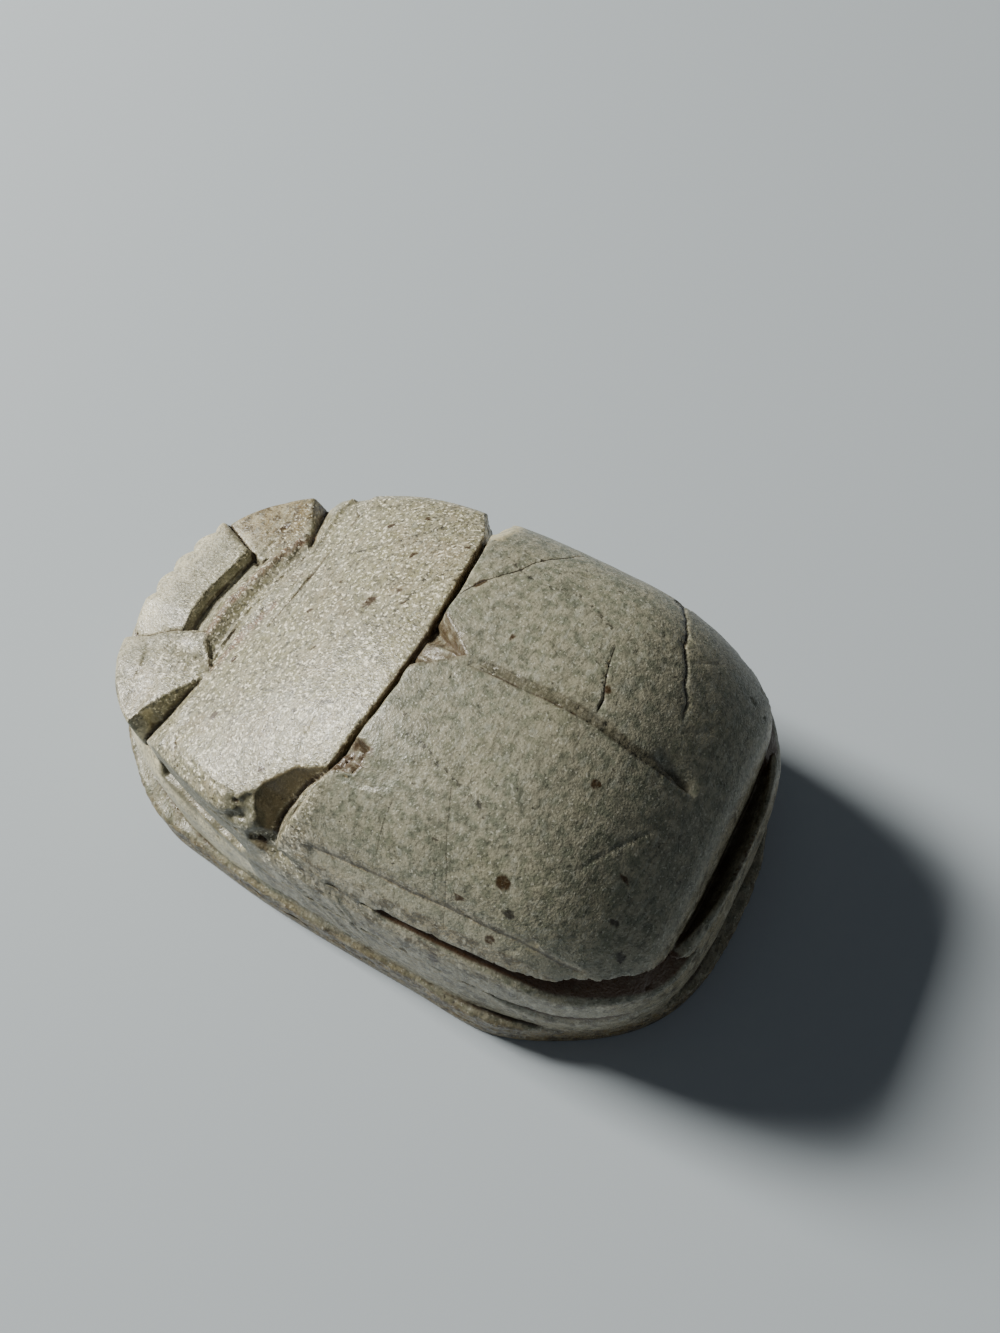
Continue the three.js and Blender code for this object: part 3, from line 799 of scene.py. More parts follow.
@dataclass(frozen=True)
class RightChip:
    """Angular break at the pronotum's right rear corner, and the pale one facing it."""

    point: tuple[float, float, float] = (-1.15, 5.0, 6.9)
    normal: tuple[float, float, float] = (-0.8, -0.5, -0.1)
    pale_point: tuple[float, float, float] = (0.2, 4.35, 7.84)
    pale_normal: tuple[float, float, float] = (0.6, -0.5, -0.62)

    def pale(self, p: Points, shield: Pronotum) -> Array:
        """Field of the space beyond the pale facet on the wing case's corner."""
        px, py, pz = self.pale_point
        nx, ny, nz = self.pale_normal
        beyond = nx * (p.x - px) + ny * (p.y - py) + nz * (p.z - pz) + 0.04 * noise(p, 0.4, 72)
        return np.maximum(np.maximum(beyond, 3.4 - p.y), shield.rear_edge(p.y) + 0.1 - p.x)

    def gap(self, p: Points, shield: Pronotum) -> Array:
        """Field of the space beyond both breaks."""
        px, py, pz = self.point
        nx, ny, nz = self.normal
        beyond = nx * (p.x - px) + ny * (p.y - py) + nz * (p.z - pz) + 0.05 * noise(p, 0.35, 71)
        corner = np.maximum(np.maximum(beyond, p.x + 0.35), 4.3 - p.y)
        return np.minimum(corner, self.pale(p, shield))


@dataclass(frozen=True)
class EdgeChip:
    """Angular flake broken from the left wing case's front edge, its floor full of crevices."""

    inner: tuple[tuple[float, float], ...] = (
        (-4.15, -0.6), (-4.02, -0.4), (-3.76, -0.02), (-3.7, 0.34), (-3.4, 0.4), (-3.06, 0.44),
        (-2.98, 0.1), (-2.9, -0.4))
    top: float = 8.02
    fall: float = 0.55
    middle: float = -3.55
    half_span: float = 0.65

    def gap(self, p: Points, shield: Pronotum) -> Array:
        """Field of the flake that is missing."""
        inner = along(p.y, self.inner) + 0.05 * noise(p, 0.14, 73)
        floor = self.top - self.fall * (inner - p.x) + 0.1 * noise(p, 0.17, 74)
        floor = floor - 0.16 * ramp(np.abs(noise(p, (0.35, 0.2, 0.8), 75)), 0.12, 0.0)
        gap = np.maximum((floor - p.z) / 1.15, p.x - inner)
        gap = np.maximum(gap, shield.rear_edge(p.y) + 0.1 - p.x)
        return np.maximum(gap, np.abs(p.y - self.middle) - self.half_span)


@dataclass(frozen=True)
class Scutellum:
    """Low broken pyramid in the V between the front corners of the wing cases."""

    tip: float = 1.22
    half_width: float = 0.8
    floor: float = 7.95

    def gap(self, p: Points, shield: Pronotum) -> Array:
        """Field of the V-shaped hollow above the pyramid."""
        across = np.abs(p.y + 0.02)
        slope = self.half_width / (self.tip - 0.2)
        sides = (across - slope * (self.tip - p.x) - 0.22 * (p.z - 8.7)) / math.hypot(1.05, slope)
        ridges = 0.11 * np.maximum(0, 1 - np.abs(np.abs(p.y + 0.03 + 0.2 * p.x) - 0.22) / 0.13)
        rough = 0.05 * noise(p, 0.18, 81)
        top = self.floor + 0.5 * np.clip(p.x, -0.1, 1.3) - 0.4 * across + ridges + rough
        return np.maximum(np.maximum(sides, (top - p.z) / 1.2), shield.rear_edge(p.y) - p.x)


@dataclass(frozen=True)
class Marks:
    """Lines cut in the wing cases, cracks, scratches, pits and inclusions."""

    lines: tuple[Cut, ...] = (
        # suture between the wing cases: two fine lines and the stained furrow between them
        Cut(((1.35, -0.1), (2.2, -0.05), (2.97, -0.03), (3.75, 0.04), (4.8, 0.03),
             (5.85, -0.02), (7.1, 0.13)), 0.36, 0.05, Profile.ROUND, 0.2),
        Cut(((1.34, -0.22), (2.27, -0.18), (3.05, -0.17), (3.81, -0.11), (4.82, -0.06),
             (5.87, -0.09), (7.17, 0.04)), 0.14, 0.08, Profile.VEE, 0.2, 0.012, 3.2, 0.35),
        Cut(((1.37, -0.02), (2.13, 0.07), (2.9, 0.11), (3.66, 0.18), (4.74, 0.1), (5.81, 0.04),
             (7.07, 0.23)), 0.12, 0.05, Profile.VEE, 0.3, 0.012, 3.2, 0.25),
        Cut(((6.1, 0.2), (6.6, 0.12), (7.05, 0.08), (7.5, 0.08)), 0.42, 0.24, Profile.FLANK,
            0.5, 0.02, 3.2, 0.6),
        side_line(((7.06, -4.64), (6.36, -4.78), (5.4, -4.87), (4.68, -4.96), (3.68, -5.02),
                   (2.66, -5.11), (1.6, -5.15), (-0.3, -5.27))),
        side_line(((-0.3, 5.27), (1.58, 5.02), (3.65, 4.87), (5.0, 4.78), (6.36, 4.7),
                   (7.3, 4.55))),
        # line behind the pronotum's front margin
        Cut(((-5.0, -0.9), (-4.92, 0.4), (-4.9, 1.5), (-4.87, 2.76), (-4.83, 4.0), (-5.3, 4.35)),
            0.14, 0.08, Profile.VEE, 0.5, 0.015, 3.2, 0.5),
        # pale graver stroke that rounds the broken patch
        Cut(((1.4, -3.55), (0.84, -3.76), (0.4, -3.78), (0.05, -3.86)), 0.15, 0.05,
            Profile.FLANK, 0.2),
        strip_line(((-5.6, -4.37), (-4.55, -4.69), (-3.56, -5.02), (-2.6, -5.1))),
        strip_line(((-5.6, 4.37), (-4.55, 4.69), (-3.56, 5.02), (-1.9, 5.12))),
        # crease on the near cheek
        Cut(((-8.35, -2.0), (-7.95, -2.75), (-7.75, -3.35)), 0.2, 0.05, Profile.FLANK, 0.3),
    )
    cracks: tuple[Cut, ...] = (
        Cut(((0.2, 1.3), (0.33, 1.66), (0.51, 2.04), (0.77, 2.34), (1.15, 2.84), (1.38, 3.35),
             (1.94, 4.08), (2.2, 4.7)), 0.07, 0.05, Profile.VEE, 0.3, 0.03, 3.2, 0.9),
        Cut(((4.2, 2.14), (4.27, 1.66), (4.42, 1.09), (4.61, 0.55), (4.6, 0.01)), 0.07, 0.06,
            Profile.VEE, 0.4, 0.04, 3.2, 0.85),
        hairline(((4.6, 0.01), (4.57, -0.58), (4.59, -0.88)), 0.45),
        Cut(((4.85, 5.3), (4.99, 4.62), (5.43, 3.72), (5.55, 3.19), (5.83, 2.77), (6.04, 2.18),
             (6.3, 1.81), (6.43, 1.36)), 0.085, 0.07, Profile.FLANK, 0.4, 0.06, 3.2, 1.0),
        hairline(((-0.5, 1.05), (-0.75, 0.68), (-0.97, 0.29), (-1.15, -0.03), (-1.24, -0.5)),
                 0.5),
        hairline(((-1.75, -2.2), (-1.6, -3.0), (-1.55, -3.7)), 0.5),
        hairline(((1.53, -3.61), (1.52, -4.27), (1.63, -4.96)), 0.45),
        hairline(((2.5, -2.8), (2.68, -3.19), (3.09, -4.11), (3.48, -4.88), (3.69, -5.5)), 0.45),
    )
    scratches: tuple[Cut, ...] = (
        Cut(((5.76, -3.3), (6.28, -2.39), (6.98, -1.23)), 0.09, 0.03, Profile.ROUND, 0.4),
        scratch(((1.0, -0.3), (1.5, -0.9), (1.7, -1.3)), 0.2),
        scratch(((2.6, -0.2), (3.3, -0.7), (3.7, -0.9)), 0.2),
        scratch(((5.3, 2.2), (6.0, 2.9), (6.6, 3.6)), 0.3),
        scratch(((6.3, 0.9), (7.0, 1.6), (7.5, 2.3)), 0.3),
    )
    scars: tuple[Scar, ...] = (
        Scar((0.8, -3.5), (0.75, 0.3), 0, 0.04, 0.5, 0.01),
        Scar((4.9, 4.9), (0.35, 0.25), 60, 0.1, 0.3, 0.03),
        Scar((5.69, -4.85), (0.17, 0.13), 0, 0.06, 0.6, 0.03),
        Scar((-7.13, 3.1), (0.12, 0.08), 40, 0.06, 0.6, 0.0),
        Scar((-6.6, -4.0), (0.25, 0.2), 30, 0.1, 0.5, 0.05),
    )

    def carve(self, stone: Array, p: Points) -> Array:
        """Takes every mark off a field's surface."""
        taken = np.zeros_like(p.x)
        for mark in (*self.lines, *self.cracks, *self.scratches, *self.scars):
            taken = np.maximum(taken, mark.depth_at(p))
        return stone + taken


@dataclass(frozen=True)
class Bore:
    """Round hole for the string, from head to tail."""

    radius: float = 0.8
    height: float = 2.75

    def gap(self, p: Points) -> Array:
        """Field of the hole."""
        return np.hypot(p.y, p.z - self.height) - self.radius


@dataclass(frozen=True)
class Inclusion:
    """A brown or dark grain that shows on the surface."""

    centre: tuple[float, float]
    radii: tuple[float, float]
    turn: float = 0.0
    tone: Tone = Tone.RUST


@dataclass(frozen=True)
class Scarab:
    """The whole stone: its field, and the masks that its finish reads."""

    plate: BasePlate = BasePlate()
    body: Body = Body()
    shield: Pronotum = Pronotum()
    head: Head = Head()
    legs: Legs = Legs()
    left_chip: LeftChip = LeftChip()
    right_chip: RightChip = RightChip()
    edge_chip: EdgeChip = EdgeChip()
    scutellum: Scutellum = Scutellum()
    marks: Marks = Marks()
    bore: Bore = Bore()
    inclusions: tuple[Inclusion, ...] = (
        # on the pronotum
        Inclusion((-2.29, 0.89), (0.26, 0.11), 70), Inclusion((-1.4, 1.09), (0.14, 0.07), 30),
        Inclusion((-3.46, 2.3), (0.14, 0.07), 20), Inclusion((-2.6, 4.29), (0.16, 0.07), 60),
        Inclusion((-0.97, 2.32), (0.17, 0.07), 40), Inclusion((-3.48, 3.69), (0.17, 0.07), 50),
        Inclusion((-2.12, 2.8), (0.14, 0.07), 60), Inclusion((-3.6, 1.38), (0.12, 0.07), 0),
        Inclusion((-1.99, 4.0), (0.12, 0.07), 40), Inclusion((-1.66, 1.48), (0.13, 0.07), 40),
        Inclusion((-4.53, -3.43), (0.17, 0.09), 80), Inclusion((-2.2, -4.28), (0.11, 0.08)),
        Inclusion((-0.86, -2.71), (0.11, 0.07), 30), Inclusion((-3.9, 0.2), (0.1, 0.07), 50),
        Inclusion((-5.3, -1.7), (0.14, 0.08), 80), Inclusion((-2.9, -0.9), (0.1, 0.07), 20),
        Inclusion((-1.6, -1.3), (0.1, 0.07), 70), Inclusion((-0.85, 3.6), (0.12, 0.07), 30),
        # on the wing cases
        Inclusion((4.57, -4.16), (0.17, 0.14)), Inclusion((3.73, -4.81), (0.11, 0.07)),
        Inclusion((5.37, -1.27), (0.13, 0.11), 20), Inclusion((6.85, -2.65), (0.12, 0.08)),
        Inclusion((4.98, -4.6), (0.11, 0.08), 0, Tone.DARK), Inclusion((3.5, -5.8), (0.14, 0.09)),
        Inclusion((7.54, -3.98), (0.13, 0.09), 70, Tone.DARK),
        Inclusion((7.09, -3.53), (0.12, 0.07), 10, Tone.DARK),
        Inclusion((4.76, -5.14), (0.13, 0.08)), Inclusion((0.5, 1.95), (0.2, 0.08), 60),
        Inclusion((4.6, 0.9), (0.14, 0.1), 80), Inclusion((2.0, 0.9), (0.1, 0.07), 40),
        # on the head's right cheek
        Inclusion((-7.13, 3.1), (0.18, 0.09), 50),
    )
    veins: tuple[Path, ...] = (
        ((0.94, -2.36), (1.62, -2.5), (1.85, -2.62), (2.64, -2.9), (3.66, -3.13)),
        ((-3.6, -2.4), (-2.6, -2.2), (-1.8, -2.3), (-1.2, -2.0)),
        ((-4.7, 2.2), (-3.6, 2.6), (-2.6, 3.4), (-1.9, 4.2)),
        ((-2.0, -0.9), (-1.5, 0.4), (-1.2, 1.6), (-1.3, 2.6)),
        ((0.8, 3.0), (1.8, 2.6), (2.9, 2.9), (3.9, 2.4)),
    )
    # the head's ridge and the pronotum's front margin, both rosy brown
    ridge: Path = ((-6.76, -1.18), (-6.87, -0.18), (-6.54, 1.72), (-5.97, 3.02))
    margin: Path = ((-5.75, -2.1), (-5.62, -0.8), (-5.4, 0.4))
    mesh_step: float = 0.072
    stroke_depth: float = 0.035

    def field(self, p: Points) -> Array:
        """Field of the finished stone.

        Args:
            p: Where to read it.

        Returns:
            About the distance to the surface in millimetres, negative inside.
        """
        waver = 0.022 * noise(p, 1.5, 1) + 0.01 * noise(p, 0.45, 2)
        wall = self.body.wall(p) + waver
        edges = (self.shield.rear_edge(p.y) + self.shield.case_edge(p.y)) / 2
        ahead = p.x < edges - 0.03
        behind = ~ahead
        stone = np.empty_like(wall)
        stone[ahead] = self.front(p.where(ahead), wall[ahead], waver[ahead])
        stone[behind] = self.body.rear(p.where(behind)) + waver[behind]
        self.within(stone, p, (np.abs(p.x) < 2.6) & (p.z > 4.6), self.open_breaks)
        stone = self.legs.carve(stone, p, wall)
        self.within(stone, p, (p.z > 1.7) & (p.x < 2.4), self.tooled)
        self.within(stone, p, p.z > 2.2, self.marks.carve)
        stone = np.maximum(stone, 0.9 - p.z)
        self.within(stone, p, p.z < 2.4, self.seated)
        return blend_max(stone, -self.bore.gap(p), 0.1)

    @staticmethod
    def within(stone: Array, p: Points, mask: Array, change: Callable) -> None:
        """Changes a field only where a mask says, in place."""
        if mask.any():
            stone[mask] = change(stone[mask], p.where(mask))

    def front(self, p: Points, wall: Array, waver: Array) -> Array:
        """Field of pronotum, head and forelegs."""
        shield = self.shield.solid(p) + waver
        head_zone = p.x < -4.9
        head = np.full_like(shield, 4.0)
        head[head_zone] = self.head.solid(p.where(head_zone)) + 0.6 * waver[head_zone]
        upper = blend_max(blend_min(shield, head, 0.03), wall, 0.08)
        legs = blend_min(self.legs.solid(p, wall), self.legs.shoulder(p, wall), 0.05)
        return blend_max(blend_min(upper, legs, 0.05), -self.shield.furrow(p), 0.06)

    def open_breaks(self, stone: Array, p: Points) -> Array:
        """Cuts the groove behind the pronotum, the chips at its corners and the scutellum."""
        crest = self.body.crest(p.y)
        for gap in (self.shield.groove(p, crest), self.left_chip.gap(p, self.shield, crest),
                    self.right_chip.gap(p, self.shield), self.edge_chip.gap(p, self.shield),
                    self.scutellum.gap(p, self.shield)):
            stone = blend_max(stone, -gap, 0.03)
        return stone

    def seated(self, stone: Array, p: Points) -> Array:
        """Joins the base plate."""
        return blend_min(stone, self.plate.solid(p), 0.04)

    def tooled(self, stone: Array, p: Points) -> Array:
        """Adds the strokes that the graver and the file left in the hollows and on the wall."""
        hollow = ramp(p.x, -7.8, -7.5) * ramp(p.x, -5.7, -6.2) * ramp(np.abs(p.y), 3.2, 2.4)
        strokes = self.stroke_depth * noise(p, (0.09, 1.6, 0.5), 91) * hollow
        filed = ramp(p.x, -1.4, -0.6) * ramp(p.x, 2.2, 1.2) * (p.z < 5.6) * (p.z > 1.9)
        turned = Points(p.x + 0.5 * p.z, p.y, p.z)
        strokes = strokes + self.stroke_depth * noise(turned, (0.14, 0.5, 1.4), 92) * filed
        return stone + strokes

    def normals(self, p: Points, step: float = 0.03) -> tuple[Array, Array, Array, Array]:
        """Field and its gradient, by small steps."""
        here = self.field(p)
        run = [(self.field(p.moved(*(step * axis))) - here) / step for axis in np.eye(3)]
        return here, *run

    def masks(self, p: Points) -> dict[str, Array]:
        """Where earth, wear, breaks, cracks and grains lie, and where light and shade are painted,
        for the finish to read.

        Args:
            p: The skin's corners.

        Returns:
            One array for each named mask.
        """
        _, nx, ny, nz = self.normals(p)
        size = np.maximum(np.sqrt(nx**2 + ny**2 + nz**2), 0.2)
        nx, ny, nz = nx / size, ny / size, nz / size

        def lifted(reach: float) -> Array:
            return self.field(Points(p.x + nx * reach, p.y + ny * reach, p.z + nz * reach)) / reach

        # how enclosed each place is; the darkening laid on it is partly earth, partly painted shade
        closed = 1 - np.clip(0.5 * lifted(0.12) + 0.5 * lifted(0.4), 0, 1)
        # how convex each place is; the paling laid on it is partly wear, partly painted highlight
        worn = np.clip((1 + lifted(-0.15)) * 1.6 - 0.25, 0, 1)
        crack, held = self.stained_lines(p)
        broken = np.zeros_like(p.x)
        for scar in self.marks.scars:
            broken = np.maximum(broken, np.clip(scar.inside(p) * 2, 0, 1) * (scar.depth > 0.05))
        pale = ramp(np.abs(self.right_chip.pale(p, self.shield)), 0.1, 0.04) * (np.abs(p.x) < 1.5)
        broken = np.maximum(broken, pale * (p.y > 3.5))
        crest = self.body.crest(p.y)
        # the chip's floor, where its painted shade is laid
        near_chip = ramp(np.abs(self.left_chip.gap(p, self.shield, crest)), 0.08, 0.03)
        chip = near_chip * ramp(self.shield.face(p, crest), -0.12, -0.25)
        patch = ramp(np.abs(self.edge_chip.gap(p, self.shield)), 0.16, 0.06)
        beside = ramp(np.abs(self.scutellum.gap(p, self.shield)), 0.12, 0.04)
        patch = np.maximum(patch, 0.7 * beside)
        rust, dark = self.grains(p)
        vein = np.full(p.x.shape, 0.4)
        for path in self.veins:
            signed, _, _ = trace(p.x, p.y, path)
            vein = np.where(p.z > 4, np.minimum(vein, np.abs(signed)), vein)
        ahead = ramp(p.x, 0.1, -0.5)
        # foreleg: where the pale cream is laid, partly painted light
        foreleg = ramp(p.x, -2.05, -2.35) * ramp(p.z, 1.6, 2.0)
        rose = np.minimum(np.abs(trace(p.x, p.y, self.ridge)[0]),
                          np.abs(trace(p.x, p.y, self.margin)[0]))
        out = np.abs(p.y) - self.shield.side_edge(p.x)
        flank = ramp(out, -0.06, 0.02) * ramp(out, 0.4, 0.28) * ramp(p.z, 3.4, 3.7)
        flank = flank * ramp(p.x, -6.1, -5.8) * ramp(p.x, -1.4, -1.9)
        flank = flank * ramp(self.shield.height(p.x, p.y) - p.z, 0.1, 0.3)
        facet = ramp(np.abs(self.shield.crumbled(p)), 0.14, 0.06) * ramp(p.z, 4.0, 4.6)
        return {
            "closed": closed, "worn": worn, "crack": crack, "crack_held": held,
            "broken": broken, "chip": chip, "patch": patch, "rust": rust, "dark": dark,
            "vein": vein, "rose": rose * (p.z > 3.8) + (p.z <= 3.8), "slit": self.in_slits(p),
            # bright: the front above the legs, paler partly by its own tone and partly as painted
            # light
            "bright": ahead * ramp(p.z, 4.0, 5.0), "foreleg": foreleg * ramp(p.z, 4.6, 4.2),
            "flank": np.maximum(flank, facet * ahead),
            "side": ramp(nz, 0.62, 0.35) * ramp(p.x, -2.3, -1.2),
            "ochre": ramp(p.z, 1.75, 1.3) + 0.75 * ramp(p.y, 1.5, 3.0) * ramp(p.x, -6.0, -6.8),
            "suture": ramp(np.abs(trace(p.x, p.y, self.marks.lines[0].path)[0]), 0.2, 0.1)
            * (p.z > 7) * ramp(p.x, 1.3, 2.0),
            "hatch": self.hatching(p),
        }

    def stained_lines(self, p: Points) -> tuple[Array, Array]:
        """Signed distance to the nearest stained line, and how dark it is there."""
        crack = np.full(p.x.shape, 0.5)
        held = np.zeros_like(p.x)
        for cut in (*self.marks.lines, *self.marks.cracks):
            mask = cut.reach(p)
            if cut.stain and mask.any():
                signed, ends = cut.beside(p.where(mask))
                nearer = np.abs(signed) < np.abs(crack[mask])
                crack[mask] = np.where(nearer, signed, crack[mask])
                held[mask] = np.where(nearer, ends * cut.stain, held[mask])
        return crack, held

    def hatching(self, p: Points) -> Array:
        """The pale scratched facets below the graver lines along the back."""
        hatch = np.zeros_like(p.x)
        for cut in self.marks.lines:
            mask = cut.reach(p)
            if cut.hatched and mask.any():
                signed, ends = cut.beside(p.where(mask))
                hatch[mask] = ramp(signed, 0.03, 0.07) * ramp(signed, 0.34, 0.22) * ends
        return hatch

    def grains(self, p: Points) -> tuple[Array, Array]:
        """Rust and dark inclusions, 1 in their middles."""
        found = {tone: np.zeros_like(p.x) for tone in Tone}
        for spot in self.inclusions:
            dx, dy = p.x - spot.centre[0], p.y - spot.centre[1]
            u, v = in_ellipse(dx, dy, spot.radii, spot.turn)
            inside = np.clip(1.6 - np.hypot(u, v), 0, 1) * (p.z > 3.5)
            found[spot.tone] = np.maximum(found[spot.tone], inside)
        return found[Tone.RUST], found[Tone.DARK]

    def in_slits(self, p: Points) -> Array:
        """How far each place lies inside a slit, where old dirt has stayed."""
        wall = self.body.wall(p)
        turn = self.legs.turn(p)
        deep = np.zeros_like(p.x)
        shell = self.legs.shell(p, wall)
        q, skin, around = p.where(shell), wall[shell], turn[shell]
        found = deep[shell]
        for slit in self.legs.slits():
            inside = ramp(np.abs(slit.gap(q, skin, around)), 0.16, 0.06)
            within = along(around, slit.path, 2) > 0.05
            found = np.maximum(found, inside * within * ramp(-skin, 0.04, 0.2))
        deep[shell] = found
        return deep


@dataclass
class Skin:
    """Meshes a field: coarse sampling, fine sampling near the surface, surface nets, projection.

    Attributes:
        stone: What is meshed.
        step: Fine grid spacing in millimetres.
        low: Lowest corner of the grid.
        high: Highest corner of the grid.
        counts: Grid places along each axis.
    """

    stone: Scarab
    step: float
    low: tuple[float, float, float] = (-10.3, -6.5, -0.2)
    high: tuple[float, float, float] = (10.3, 6.5, 9.2)
    counts: tuple[int, int, int] = field(init=False)

    def __post_init__(self) -> None:
        """Works out the grid's size, an even number of steps each way."""
        spans = (np.array(self.high) - np.array(self.low)) / self.step
        self.counts = tuple(int(math.ceil(span / 2)) * 2 + 1 for span in spans)

    def at(self, index: Array) -> Points:
        """Places of grid indices."""
        places = np.array(self.low, np.float32) + index.astype(np.float32) * self.step
        return Points(*places.T.astype(np.float32).copy())

    def sampled(self) -> Array:
        """The field on the grid, exact near the surface and only signed elsewhere."""
        coarse_counts = tuple((count + 1) // 2 for count in self.counts)
        grids = np.meshgrid(*(np.arange(count) for count in coarse_counts), indexing="ij")
        index = np.stack([grid.ravel() for grid in grids], 1)
        coarse = self.stone.field(self.at(index * 2)).reshape(coarse_counts)
        inside = coarse < 0
        near = np.zeros_like(inside)
        for axis in range(3):
            change = np.diff(inside, axis=axis)
            head = [slice(None)] * 3
            tail = [slice(None)] * 3
            head[axis], tail[axis] = slice(1, None), slice(None, -1)
            near[tuple(head)] |= change
            near[tuple(tail)] |= change
        grown = near.copy()
        for axis in range(3):
            grown |= np.roll(near, 1, axis) | np.roll(near, -1, axis)
        fine = np.repeat(np.repeat(np.repeat(coarse, 2, 0), 2, 1), 2, 2)
        mask = np.repeat(np.repeat(np.repeat(grown, 2, 0), 2, 1), 2, 2)
        cut = tuple(slice(0, count) for count in self.counts)
        fine, mask = fine[cut].copy(), mask[cut]
        fine[mask] = self.stone.field(self.at(np.argwhere(mask)))
        return fine

    def net(self) -> tuple[Array, Array]:
        """Corners and four-sided faces of the surface.

        Returns:
            Corner positions in millimetres and corner numbers of each face.
        """
        values = self.sampled()
        inside = values < 0
        cell_shape = tuple(count - 1 for count in self.counts)
        total = np.zeros(cell_shape, np.int8)
        offsets = [(i, j, k) for i in (0, 1) for j in (0, 1) for k in (0, 1)]
        for i, j, k in offsets:
            total += inside[i:i + cell_shape[0], j:j + cell_shape[1], k:k + cell_shape[2]]
        cells = np.argwhere((total > 0) & (total < 8))
        number = np.full(cell_shape, -1, np.int64)
        number[tuple(cells.T)] = np.arange(len(cells))
        corner = {
            off: values[tuple((cells + np.array(off)).T)] for off in offsets
        }
        place = np.zeros((len(cells), 3))
        hits = np.zeros(len(cells))
        for off in offsets:
            for axis in range(3):
                if off[axis]:
                    continue
                other = tuple(1 if a == axis else off[a] for a in range(3))
                a, b = corner[off], corner[other]
                crossing = (a < 0) != (b < 0)
                t = np.where(crossing, a / np.where(crossing, a - b, 1), 0)
                point = np.tile(np.array(off, float), (len(cells), 1))
                point[:, axis] += t
                place += point * crossing[:, None]
                hits += crossing
        place = cells + place / hits[:, None]
        faces = []
        for axis in range(3):
            u, v = (axis + 1) % 3, (axis + 2) % 3
            a = np.take(inside, range(inside.shape[axis] - 1), axis)
            b = np.take(inside, range(1, inside.shape[axis]), axis)
            edges = np.argwhere(a != b)
            edges = edges[(edges[:, u] > 0) & (edges[:, v] > 0)]
            leaving = a[tuple(edges.T)]
            ring = []
            for du, dv in ((1, 1), (0, 1), (0, 0), (1, 0)):
                cell = edges.copy()
                cell[:, u] -= du
                cell[:, v] -= dv
                ring.append(number[tuple(cell.T)])
            quad = np.stack(ring, 1)
            quad[~leaving] = quad[~leaving][:, ::-1]
            faces.append(quad)
        points = place * self.step + np.array(self.low)
        return points, np.concatenate(faces)

    def settled(self, points: Array, rounds: int = 2) -> Array:
        """Moves corners onto the true surface, never more than half a step a round."""
        for _ in range(rounds):
            here, *slope = self.stone.normals(Points(*points.T), 0.02)
            gradient = np.stack(slope, 1)
            steep = np.maximum((gradient**2).sum(1), 0.25)
            move = -(here / steep)[:, None] * gradient
            length = np.linalg.norm(move, axis=1, keepdims=True)
            points = points + move * np.minimum(1, 0.45 * self.step / np.maximum(length, 1e-9))
        return points


def linear(hex_colour: str) -> tuple[float, float, float, float]:
    """Linear colour of an sRGB hex value."""
    channels = [int(hex_colour[i:i + 2], 16) / 255 for i in (0, 2, 4)]
    curved = [c / 12.92 if c <= 0.04045 else ((c + 0.055) / 1.055) ** 2.4 for c in channels]
    return (*curved, 1.0)


def add_node(
    tree: bpy.types.NodeTree,
    kind: str,
    inputs: dict[str | int, object] | None = None,
    **settings: object,
) -> bpy.types.Node:
    """Adds a node with its settings and links.

    Args:
        tree: Where it goes.
        kind: Blender's name for the node.
        inputs: Values or output sockets, by input name or number.
        settings: The node's own properties.

    Returns:
        The node.
    """
    node = tree.nodes.new(kind)
    for name, value in settings.items():
        setattr(node, name, value)
    for name, value in (inputs or {}).items():
        if isinstance(value, bpy.types.NodeSocket):
            tree.links.new(value, node.inputs[name])
        else:
            node.inputs[name].default_value = value
    return node


@dataclass(frozen=True)
class Layer:
    """One colour laid over the stone.

    Attributes:
        colour: Its sRGB hex value.
        strength: How much of it covers the stone where it is whole.
        mask: Attribute that says where it lies, or nothing for everywhere.
        start: Value of the mask where it starts.
        whole: Value of the mask where it is whole.
        folded: Whether the mask is a signed distance, the same on both sides.
        held: Second attribute that weakens it.
        grain_mm: Size of the pattern that breaks it up, or 0 for none.
        sparse: Value of the pattern, 0 to 1, where the colour starts.
        dense: Value of the pattern where it is whole.
        least: Share of it that stays between the pattern's grains.
        stretch: How many times finer the pattern is along each axis.
    """

    colour: str
    strength: float
    mask: str = ""
    start: float = 0.0
    whole: float = 1.0
    folded: bool = False
    held: str = ""
    grain_mm: float = 0.0
    sparse: float = 0.4
    dense: float = 0.7
    least: float = 0.0
    stretch: tuple[float, float, float] = (1.0, 1.0, 1.0)


